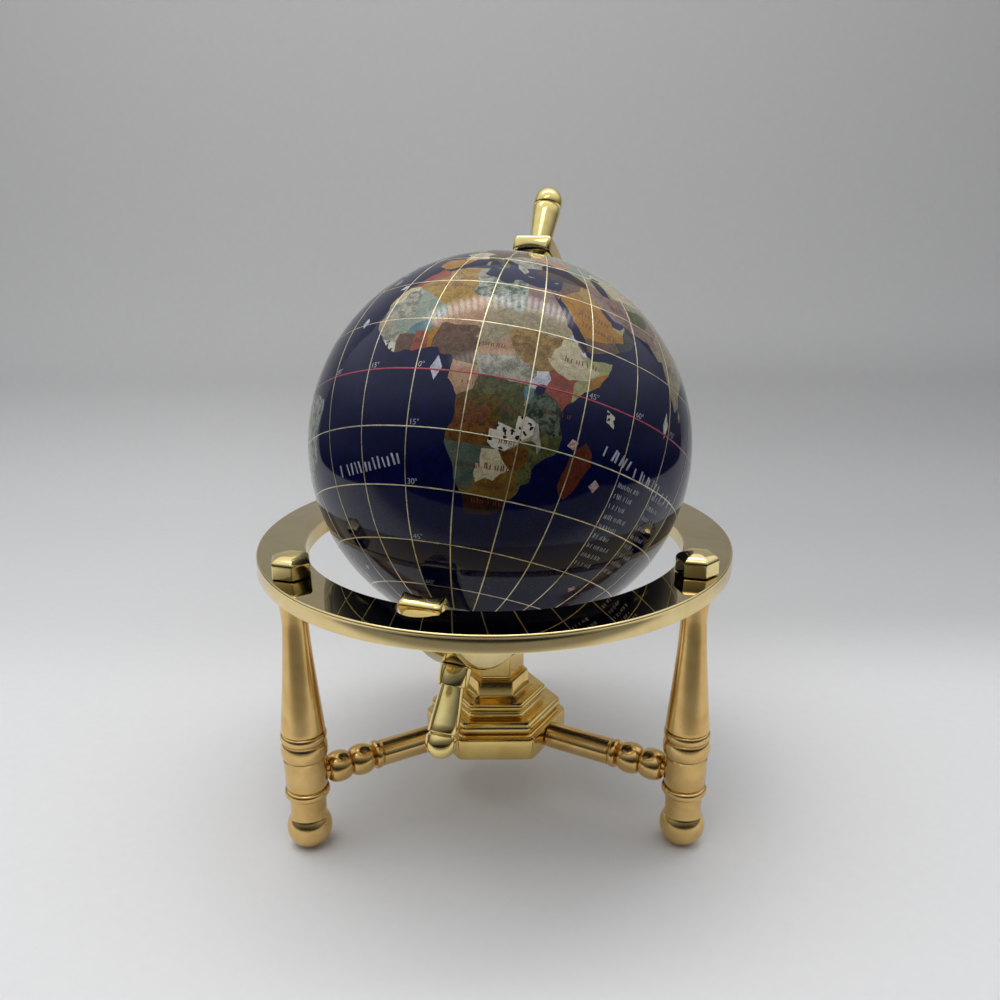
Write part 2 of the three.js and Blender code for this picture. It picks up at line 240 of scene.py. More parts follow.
def makeWorkedMetal():
    tree, given, out = newGroup("Worked metal", [
        ("Metal", "Color", (0.8, 0.6, 0.3, 1)), ("Deep", "Color", (0.6, 0.35, 0.1, 1)),
        ("Roughness", "Float", 0.15), ("Wipe marks", "Float", 0.1), ("Lines", "Float", 0.1),
    ], [("Color", "Color"), ("Roughness", "Float"), ("Normal", "Vector")])
    coordinates = node(tree, "TexCoord").outputs
    rows = node(tree, "VectorMath", {0: coordinates["UV"], 1: (6.0, 9.0, 1.0)}, operation="MULTIPLY").outputs[0]
    lines = node(tree, "TexNoise", {"Vector": rows, "Scale": 1.0, "Detail": 3.0, "Roughness": 0.7}).outputs[0]
    wipes = node(tree, "TexNoise", {"Vector": coordinates["Object"], "Scale": 95.0, "Detail": 5.0,
                                    "Roughness": 0.6, "Distortion": 0.8}).outputs[0]
    pits = node(tree, "TexNoise", {"Vector": coordinates["Object"], "Scale": 1400.0, "Detail": 2.0}).outputs[0]
    ageMask = node(tree, "MapRange", {"Value": wipes, "From Min": 0.35, "From Max": 0.75}).outputs[0]
    aged = node(tree, "Mix", {"Factor": ageMask, 6: given["Metal"], 7: given["Deep"]}, data_type="RGBA").outputs[2]
    tree.links.new(aged, out["Color"])
    dulled = node(tree, "Math", {0: ageMask, 1: given["Wipe marks"], 2: given["Roughness"]},
                  operation="MULTIPLY_ADD").outputs[0]
    lined = node(tree, "Math", {0: lines, 1: given["Lines"], 2: dulled}, operation="MULTIPLY_ADD").outputs[0]
    tree.links.new(lined, out["Roughness"])
    relief = node(tree, "Math", {0: pits, 1: 0.25, 2: lines}, operation="MULTIPLY_ADD").outputs[0]
    bump = node(tree, "Bump", {"Height": relief, "Strength": given["Lines"], "Distance": 0.00006}).outputs[0]
    tree.links.new(bump, out["Normal"])
    return tree


stoneFigure = makeStoneFigure()
workedMetal = makeWorkedMetal()

# Brass finishes: main colour, colour where aged, roughness, wipe marks, lines
brassFinishes = {
    "Ring brass": ((0.84, 0.68, 0.34, 1), (0.76, 0.57, 0.25, 1), 0.09, 0.08, 0.06),
    # The ring's top uses a darker copy of the ring brass: painted shade
    "Ring top brass with painted shade": ((0.58, 0.48, 0.26, 1), (0.52, 0.42, 0.22, 1), 0.02, 0.03, 0.01),
    "Leg brass": ((0.78, 0.54, 0.215, 1), (0.62, 0.38, 0.125, 1), 0.09, 0.07, 0.14),
    "Hub brass": ((0.78, 0.57, 0.21, 1), (0.65, 0.43, 0.13, 1), 0.08, 0.08, 0.06),
    "Arm brass": ((0.94, 0.77, 0.33, 1), (0.8, 0.6, 0.2, 1), 0.05, 0.06, 0.05),
    "Nut brass": ((0.94, 0.79, 0.38, 1), (0.82, 0.62, 0.24, 1), 0.05, 0.06, 0.05),
}


def makeBrass(name):
    metal, deep, roughness, wipes, lines = brassFinishes[name]
    material, tree, shader = newMaterial(name)
    worked = groupNode(tree, workedMetal, {"Metal": metal, "Deep": deep, "Roughness": roughness,
                                           "Wipe marks": wipes, "Lines": lines})
    shader.inputs["Metallic"].default_value = 1.0
    tree.links.new(worked["Color"], shader.inputs["Base Color"])
    tree.links.new(worked["Roughness"], shader.inputs["Roughness"])
    tree.links.new(worked["Normal"], shader.inputs["Normal"])
    return material


brass = {name: makeBrass(name) for name in brassFinishes}

# Stones: base, cloud, vein and spot colours, then cloud, vein and spot amounts, then scale
stones = {
    "lapis": (rgb(5, 9, 46), rgb(10, 17, 70), rgb(60, 70, 120), rgb(120, 110, 70), 0.5, 0.0, 0.0, 1.0),
    "mustard": (rgb(152, 122, 56), rgb(122, 94, 42), rgb(84, 56, 28), rgb(60, 40, 20), 0.8, 0.5, 0.0, 1.2),
    "moss": (rgb(142, 148, 138), rgb(44, 66, 48), rgb(190, 194, 190), rgb(24, 40, 30), 0.95, 0.4, 0.3, 1.1),
    "darkMoss": (rgb(24, 40, 28), rgb(112, 122, 104), rgb(16, 30, 20), rgb(12, 22, 16), 0.6, 0.3, 0.5, 1.3),
    "paleMoss": (rgb(156, 152, 138), rgb(84, 88, 74), rgb(60, 74, 58), rgb(60, 70, 56), 0.7, 0.3, 0.4, 1.2),
    "mauve": (rgb(130, 108, 100), rgb(104, 84, 82), rgb(160, 140, 130), rgb(90, 70, 70), 0.8, 0.3, 0.2, 1.6),
    "tiger": (rgb(146, 118, 70), rgb(104, 80, 46), rgb(60, 42, 26), rgb(60, 40, 20), 0.9, 0.6, 0.0, 1.0),
    "teal": (rgb(116, 130, 118), rgb(140, 146, 132), rgb(76, 92, 82), rgb(60, 70, 60), 0.7, 0.2, 0.0, 0.9),
    "deepTeal": (rgb(62, 78, 66), rgb(86, 94, 80), rgb(40, 52, 44), rgb(40, 50, 40), 0.7, 0.3, 0.0, 1.0),
    "peach": (rgb(162, 130, 102), rgb(140, 106, 80), rgb(180, 152, 128), rgb(120, 70, 50), 0.8, 0.3, 0.0, 1.2),
    "redJasper": (rgb(134, 70, 54), rgb(108, 50, 38), rgb(160, 104, 84), rgb(70, 30, 20), 0.7, 0.25, 0.0, 1.2),
    "brick": (rgb(92, 42, 28), rgb(70, 30, 20), rgb(110, 66, 50), rgb(50, 24, 16), 0.7, 0.25, 0.0, 1.2),
    "umber": (rgb(96, 74, 58), rgb(70, 54, 42), rgb(120, 102, 86), rgb(60, 44, 32), 0.8, 0.4, 0.0, 1.2),
    "slate": (rgb(58, 56, 54), rgb(38, 38, 38), rgb(84, 82, 80), rgb(30, 34, 34), 0.8, 0.3, 0.4, 1.3),
    "cream": (rgb(182, 172, 142), rgb(156, 146, 114), rgb(112, 102, 78), rgb(90, 80, 60), 0.6, 0.7, 0.0, 1.3),
    "dalmatian": (rgb(192, 188, 174), rgb(168, 162, 146), rgb(120, 112, 98), rgb(16, 15, 14), 0.5, 0.15, 1.0, 2.0),
    "oliveGold": (rgb(86, 72, 26), rgb(54, 46, 18), rgb(26, 22, 12), rgb(40, 36, 18), 0.8, 0.8, 0.0, 0.9),
    "amber": (rgb(106, 68, 26), rgb(70, 44, 16), rgb(40, 24, 12), rgb(50, 28, 14), 0.85, 0.8, 0.0, 1.2),
    "sage": (rgb(88, 88, 50), rgb(54, 60, 36), rgb(30, 34, 22), rgb(38, 42, 26), 0.9, 0.7, 0.3, 1.3),
    "honey": (rgb(152, 108, 38), rgb(128, 88, 30), rgb(172, 134, 66), rgb(100, 66, 26), 0.7, 0.2, 0.0, 1.0),
    "straw": (rgb(150, 146, 100), rgb(126, 126, 86), rgb(110, 108, 72), rgb(90, 88, 56), 0.7, 0.3, 0.0, 1.2),
    "ochre": (rgb(112, 86, 36), rgb(88, 64, 26), rgb(64, 44, 20), rgb(56, 40, 18), 0.8, 0.5, 0.0, 1.0),
    "walnut": (rgb(52, 32, 18), rgb(34, 20, 12), rgb(76, 48, 24), rgb(22, 14, 10), 0.85, 0.4, 0.0, 1.2),
    "sand": (rgb(146, 134, 108), rgb(116, 110, 90), rgb(164, 156, 130), rgb(70, 66, 50), 0.8, 0.3, 0.2, 1.4),
    "turquoise": (rgb(86, 116, 120), rgb(70, 98, 104), rgb(60, 70, 66), rgb(50, 60, 60), 0.6, 0.4, 0.0, 1.4),
    "shell": (rgb(188, 168, 166), rgb(150, 84, 78), rgb(210, 204, 200), rgb(110, 60, 60), 0.9, 0.3, 0.0, 3.0),
    "pearl": (rgb(190, 192, 198), rgb(146, 148, 166), rgb(208, 202, 192), rgb(130, 140, 140), 0.9, 0.3, 0.0, 2.4),
}


def makeStone(name, shift):
    base, cloud, vein, spot, cloudAmount, veinAmount, spotAmount, scale = stones[name]
    material, tree, shader = newMaterial(name)
    figure = groupNode(tree, stoneFigure, {
        "Base": base, "Cloud": cloud, "Vein": vein, "Spot": spot, "Cloud amount": cloudAmount,
        "Vein amount": veinAmount, "Spot amount": spotAmount, "Scale": scale, "Shift": shift})
    tree.links.new(figure["Color"], shader.inputs["Base Color"])
    tree.links.new(figure["Roughness"], shader.inputs["Roughness"])
    shader.inputs["IOR"].default_value = 1.4
    return material


def makeWire(name, colour, metallic, roughness):
    material, tree, shader = newMaterial(name)
    place = node(tree, "TexCoord").outputs["Object"]
    patches = node(tree, "TexNoise", {"Vector": place, "Scale": 420.0, "Detail": 3.0}).outputs[0]
    dark = tuple(c * 0.62 for c in colour[:3]) + (1,)
    mask = node(tree, "MapRange", {"Value": patches, "From Min": 0.35, "From Max": 0.62}).outputs[0]
    mixed = node(tree, "Mix", {"Factor": mask, 6: dark, 7: colour}, data_type="RGBA").outputs[2]
    tree.links.new(mixed, shader.inputs["Base Color"])
    spread = node(tree, "MapRange", {"Value": patches, "To Min": roughness, "To Max": roughness + 0.25}).outputs[0]
    tree.links.new(spread, shader.inputs["Roughness"])
    shader.inputs["Metallic"].default_value = metallic
    shader.inputs["Coat Weight"].default_value = 1.0
    shader.inputs["Coat Roughness"].default_value = 0.05
    return material


print("Materials made")


# The map on the ball. Outlines list longitude and latitude in degrees
def outline(text):
    return [tuple(float(value) for value in pair.split()) for pair in text.split(",")]


landOutlines = {
    "africa": "-6 36,-2 35,0 36,3 37,7 37,10 37.3,11 37,10.5 35.5,10 34,11 33.3,13 32.9,15 32.3,16 31.3,18 30.4,"
              "20 31,20 32.5,22 32.9,23 32.5,25 31.6,28 31.1,30 31.3,32 31.3,32.6 30,33 28.5,34 26.8,35.5 24,37 21.5,"
              "37.3 19,38.5 18,39.5 15.5,41 14.5,43 12.5,43.3 11.5,45 10.5,48 11.2,51.2 11.9,51 10.4,50 8,48 4.5,"
              "46 2.5,44 1.5,42.5 -0.5,41.5 -2,40 -3,39.3 -5,39.3 -7,39.6 -9,40.5 -10.5,40.7 -14,40 -16,37.5 -17.8,"
              "35.5 -19.8,35 -21,35.5 -23,35.3 -24.3,33 -25.5,32.8 -27.5,31 -30,28.5 -33.2,26 -34.6,22.5 -35,"
              "20 -35.6,18.4 -34.6,17.9 -32,16.6 -29.5,14.6 -27,13.8 -23,12.4 -20.5,10.9 -18,10.9 -15.5,"
              "12.3 -12.5,12.6 -10.5,12.3 -8.5,"
              "12.2 -6,11 -4,9.3 -2,9.3 0.5,9.7 3.5,8.7 4.5,7 4.4,5.8 4.5,4.5 6.3,2.5 6.3,0 5.6,-2 4.8,-4.5 5.2,"
              "-7.5 4.4,-9 5,-11.5 6.9,-13.2 8.7,-13.7 9.8,-15 11,-16.7 12.4,-17.4 14.7,-16.5 16,-16.3 19,-17 21,"
              "-16 23.7,-14.5 26.2,-13 27.8,-10.5 29.2,-9.7 31.5,-8.5 33.3,-6.8 34.2",
    "madagascar": "47.5 -10.8,50 -13,50.6 -16,49 -20,47.8 -24,46.3 -26,44.2 -25.4,43 -23,43.2 -20,44 -17.5,"
                  "44 -15.5,45.5 -13",
    "eurasia": "32.6 30,34.2 27.8,34.9 29.5,35 28,37.2 25,39 21.5,41 18.5,42.7 16.3,43.3 13,45 12.8,48 14,52 15.6,"
               "55 17.2,57.8 19,59.8 22.5,58.5 23.7,56.4 24.6,56.3 26.3,54.5 24.2,51.6 24.3,51.3 26,50.2 26.5,"
               "48.5 28.5,48 30,49 30.3,51 28.5,53 26.8,56 27,57.3 25.7,61.5 25.1,66.5 25.3,67.5 23.8,69 22.3,"
               "70.3 20.8,72.5 21.5,72.8 19,74 15.5,75.5 11.8,77.5 8.1,78.5 9,79.8 10.3,80.3 13.5,82 16.5,85 19.7,"
               "87 21.5,90.5 22.3,92 21,94.3 18,94.5 16,97 17,98.6 12,98.5 8.5,100.5 6.5,103.5 1.5,103.4 4,101.5 7,"
               "99.3 9.5,100 13.3,102.5 12.2,105 8.7,107 10.5,109.2 12.5,108 16,105.8 19,108 21.6,110.5 21.3,"
               "114 22.3,117 23.5,120 26.5,122 30,119.5 35,122.3 37,118 39,121.5 40.8,125 39.7,126.5 35,129.3 35.5,"
               "127.8 39.7,131 42.8,135.5 44.5,140.5 48.5,141 53,135.5 54.6,143 59.3,152 59,156 61.5,163.5 62.5,"
               "160 60.5,156 57.5,156.7 51,162 56,164 60,170 60,179 62.3,185 64.5,189.5 66,180 69,170 70,160 69.7,"
               "150 71.5,140 72.5,130 71,113 73.7,105 77.5,95 76,80 73,73 71.5,68.5 68.3,60 69,45 68.3,43.5 66.2,"
               "40 64.8,37 64,33 66.7,41 66.8,37 69,30 70,25.5 71,18 69.5,13 66,10 63.5,5 62,5.5 59,8 58,11 59,"
               "12.5 56,14.5 55.5,16.5 57,18.5 60,17.3 61.5,21 64,24.5 65.7,21.5 62.5,22.5 60,28.5 60.3,29 59.5,"
               "23.5 59,24 57.2,21 57,21 55,18.5 54.6,14 54,10.5 54.3,10.5 57.5,8.3 57,8.5 54,4.5 52.5,1.5 50.3,"
               "-1.5 49.5,-4.7 48.4,-1.2 46,-1.8 43.4,-9 43.3,-9.3 38.8,-6.2 36.9,-5.5 36,-2 36.8,0 38.6,3.2 42,"
               "3.2 43.2,7.5 43.8,10 44,12.3 41.8,15.7 38,17 39,16.5 40.6,18.4 40.2,16 41.5,13.5 43.7,12.3 45.4,"
               "14 45,19.3 41.9,20 39,22.5 36.5,24 38,23 40,26 40.8,28.5 41.1,28 43.3,30.5 46.4,33 46,33.5 44.6,"
               "36.5 45.3,38.5 47.2,37.5 45,41.5 42,38 41,33 42,29 41,26.5 39.5,27.5 37,30.5 36.5,34.5 36.7,"
               "35.8 36.2,35 33,34.2 31.3,32.4 31.2",
    "southAmerica": "-77.5 8.5,-75.5 10.7,-72 12,-70 12,-68 10.7,-62 10.7,-60 8.5,-57 6,-52 5,-50 0.5,-48 -0.7,"
                    "-44.5 -2.7,-40 -2.9,-37 -4.8,-35.2 -5.3,-34.8 -8,-37 -11.5,-39 -14,-39.3 -18,-41 -21.8,"
                    "-44.5 -23.2,-48 -25.5,-48.7 -28.5,-51 -31,-53.5 -34,-56 -34.9,-58 -34.2,-57 -36.5,-58 -38.3,"
                    "-62 -39,-65 -41,-63.8 -42.6,-67.5 -46,-66 -48,-69 -51,-68.5 -53,-66 -54.8,-70 -55.3,-74 -52,"
                    "-75.5 -47,-73.5 -42,-73.5 -37,-71.5 -32,-70.5 -25,-70.4 -18.3,-76 -14,-79.5 -7.5,-81.2 -5,"
                    "-80 -2.8,-80.3 0,-78.5 2.3,-77.3 4,-77.5 7",
    "northAmerica": "-77.5 8.5,-79.5 9.3,-83 9,-83.5 11,-83.3 15,-88 15.8,-87 21,-90.5 21,-91 18.7,-95.5 18.6,"
                    "-97.7 22.5,-97.2 27.5,-94 29.6,-89.5 29.3,-84.5 30,-82.6 27.8,-81 25.3,-80.2 27,-81.3 31,"
                    "-76 35,-76 37.5,-74 40.5,-70 42,-67 44.8,-64.5 44,-60 46.3,-65 48,-60 50,-56 52.5,-61 56,"
                    "-65 60,-70 61,-77.5 62.5,-78.5 59,-76.5 56.5,-79.5 54.5,-80 51.3,-82.5 53,-82.3 55.2,-88 56.5,"
                    "-94.5 59,-94 61.5,-88 64,-87 67.5,-82 68.5,-94 71.5,-97 68,-108 68,-115 68.5,-128 70,-141 69.7,"
                    "-156 71.2,-166 68.5,-162 66.3,-168 65.5,-161 64.5,-165.5 61.5,-162 58.7,-158 58.7,-164.5 54.7,"
                    "-153 57.5,-150 61,-144 60,-136 58.5,-130 54.5,-124 49,-124.5 43,-122 37,-117 32.5,-112.5 27,"
                    "-114.5 31,-113 31.2,-106 23,-105.5 20,-99 16.6,-94 16.2,-88 13,-85.8 11,-83.5 8.5,-80 7.4",
    "greenland": "-73 78.5,-60 82,-32 83.5,-20 80,-20 74,-26 70,-38 65.7,-43.5 60,-50 62.5,-53.5 68,-56 74,-68 76",
    "australia": "113.7 -22.5,114 -26.5,115.7 -32,118 -35,123.5 -34,129 -31.7,134 -32.8,137.8 -35,140 -38,"
                 "144.5 -38.3,147 -38.8,150 -37.3,153 -32,153.3 -26,149.5 -21.8,146 -18.8,143.5 -14.2,142.3 -11,"
                 "141 -16.5,139.3 -17.4,136 -15.5,136.5 -12,132 -11.4,129.5 -14.8,126.5 -14,122.5 -17.5,119 -20.2",
    "newGuinea": "131 -0.8,134 -1,138 -1.7,144 -3.8,148 -6.2,150.7 -10.5,146 -8.5,143 -9,138.5 -8.2,135 -4.4,132 -3",
    "antarctica": "-170 -78.5,-160 -78,-150 -77,-135 -74.5,-115 -74,-100 -73,-75 -71.5,-67 -67,-59 -63.5,-61 -69,"
                  "-62 -75,-45 -78,-30 -77,-18 -72.5,-5 -71,15 -69.5,32 -69.5,42 -67.7,55 -66,70 -69,80 -67.5,"
                  "100 -65.5,120 -66.7,140 -66.8,155 -69,168 -71.5,164 -77.5,178 -78,190 -78.5,190 -87.5,-170 -87.5",
    "borneo": "109 1.5,112 3.2,115.5 5.5,117 7,119 5,117.8 1.5,116.5 -2.5,114.5 -4,111.5 -3.4,110 -1.2",
    "sumatra": "95.3 5.6,98 4.2,101 2,104 -1,106 -3.2,105.7 -5.9,102.5 -4.2,100 -0.8,97.5 2.5",
    "java": "105.3 -6.6,108 -6.6,111 -6.6,114.4 -7.7,114.3 -8.7,110 -8.1,106.5 -7.4",
    "sulawesi": "119 -3,120 0.8,125 1.3,121 -0.6,123 -4.5,120.6 -3,120.2 -5.5,119.4 -5.3",
    "philippines": "120.5 18.4,122.2 18.3,121.7 15.8,124 12.8,126.3 8,125 5.8,122.3 7.2,123.5 10,120.5 13.8",
    "japan": "130 33,131.5 31.2,135.5 33.6,140 35.2,141.8 39.5,143 42.5,145 43.7,141.8 45.4,140.3 42.5,139.5 38.5,"
             "136.5 36.8,132 35.2",
    "sriLanka": "79.8 9.7,81.2 8.5,81.7 7,80.5 5.9,79.8 7.5",
    "britain": "-5.5 50,-3 50.6,1.4 51.2,1.7 52.7,-0.2 54,-2 56,-2 57.7,-4 58.6,-6 57,-4.8 54.8,-3 53.7,-5 51.8",
    "ireland": "-10 52,-6.3 52.2,-5.7 54.5,-8 55.3,-10 54",
    "iceland": "-22.5 64,-18.5 63.5,-14 65,-16 66.4,-23 66.3",
    "newZealand": "173 -34.6,175.8 -37.2,178.3 -38,176.8 -40,174.8 -41.5,173 -43.5,170.8 -46,168.3 -46.6,"
                  "167 -45.5,171 -42.2,173 -40.2,174.7 -38.5",
    "tasmania": "144.8 -40.8,148.2 -41,147.5 -43.5,146 -43.5",
    "cuba": "-84.5 22,-80.5 23.2,-75 20.7,-69 19.8,-69 18.2,-74 18.4,-78 19.8,-82 21.8",
    "sicily": "12.5 38.1,15.5 38.2,15.1 36.8",
    "sardinia": "8.3 41,9.6 42.9,9.7 39.2,8.5 39",
    "crete": "23.6 35.5,26.3 35.3,24.8 34.9",
    "cyprus": "32.4 35,34.4 35.6,33.4 34.6",
    "taiwan": "120.2 23.2,121.6 25.2,121 22.1",
    "hainan": "108.8 19.2,110.8 20,110 18.4",
    "baffin": "-62 66.5,-68 63,-74 64.5,-72 68,-80 73.5,-68 70.3",
    "ellesmere": "-90 76.5,-90 81,-70 83,-63 82,-78 76.5",
}

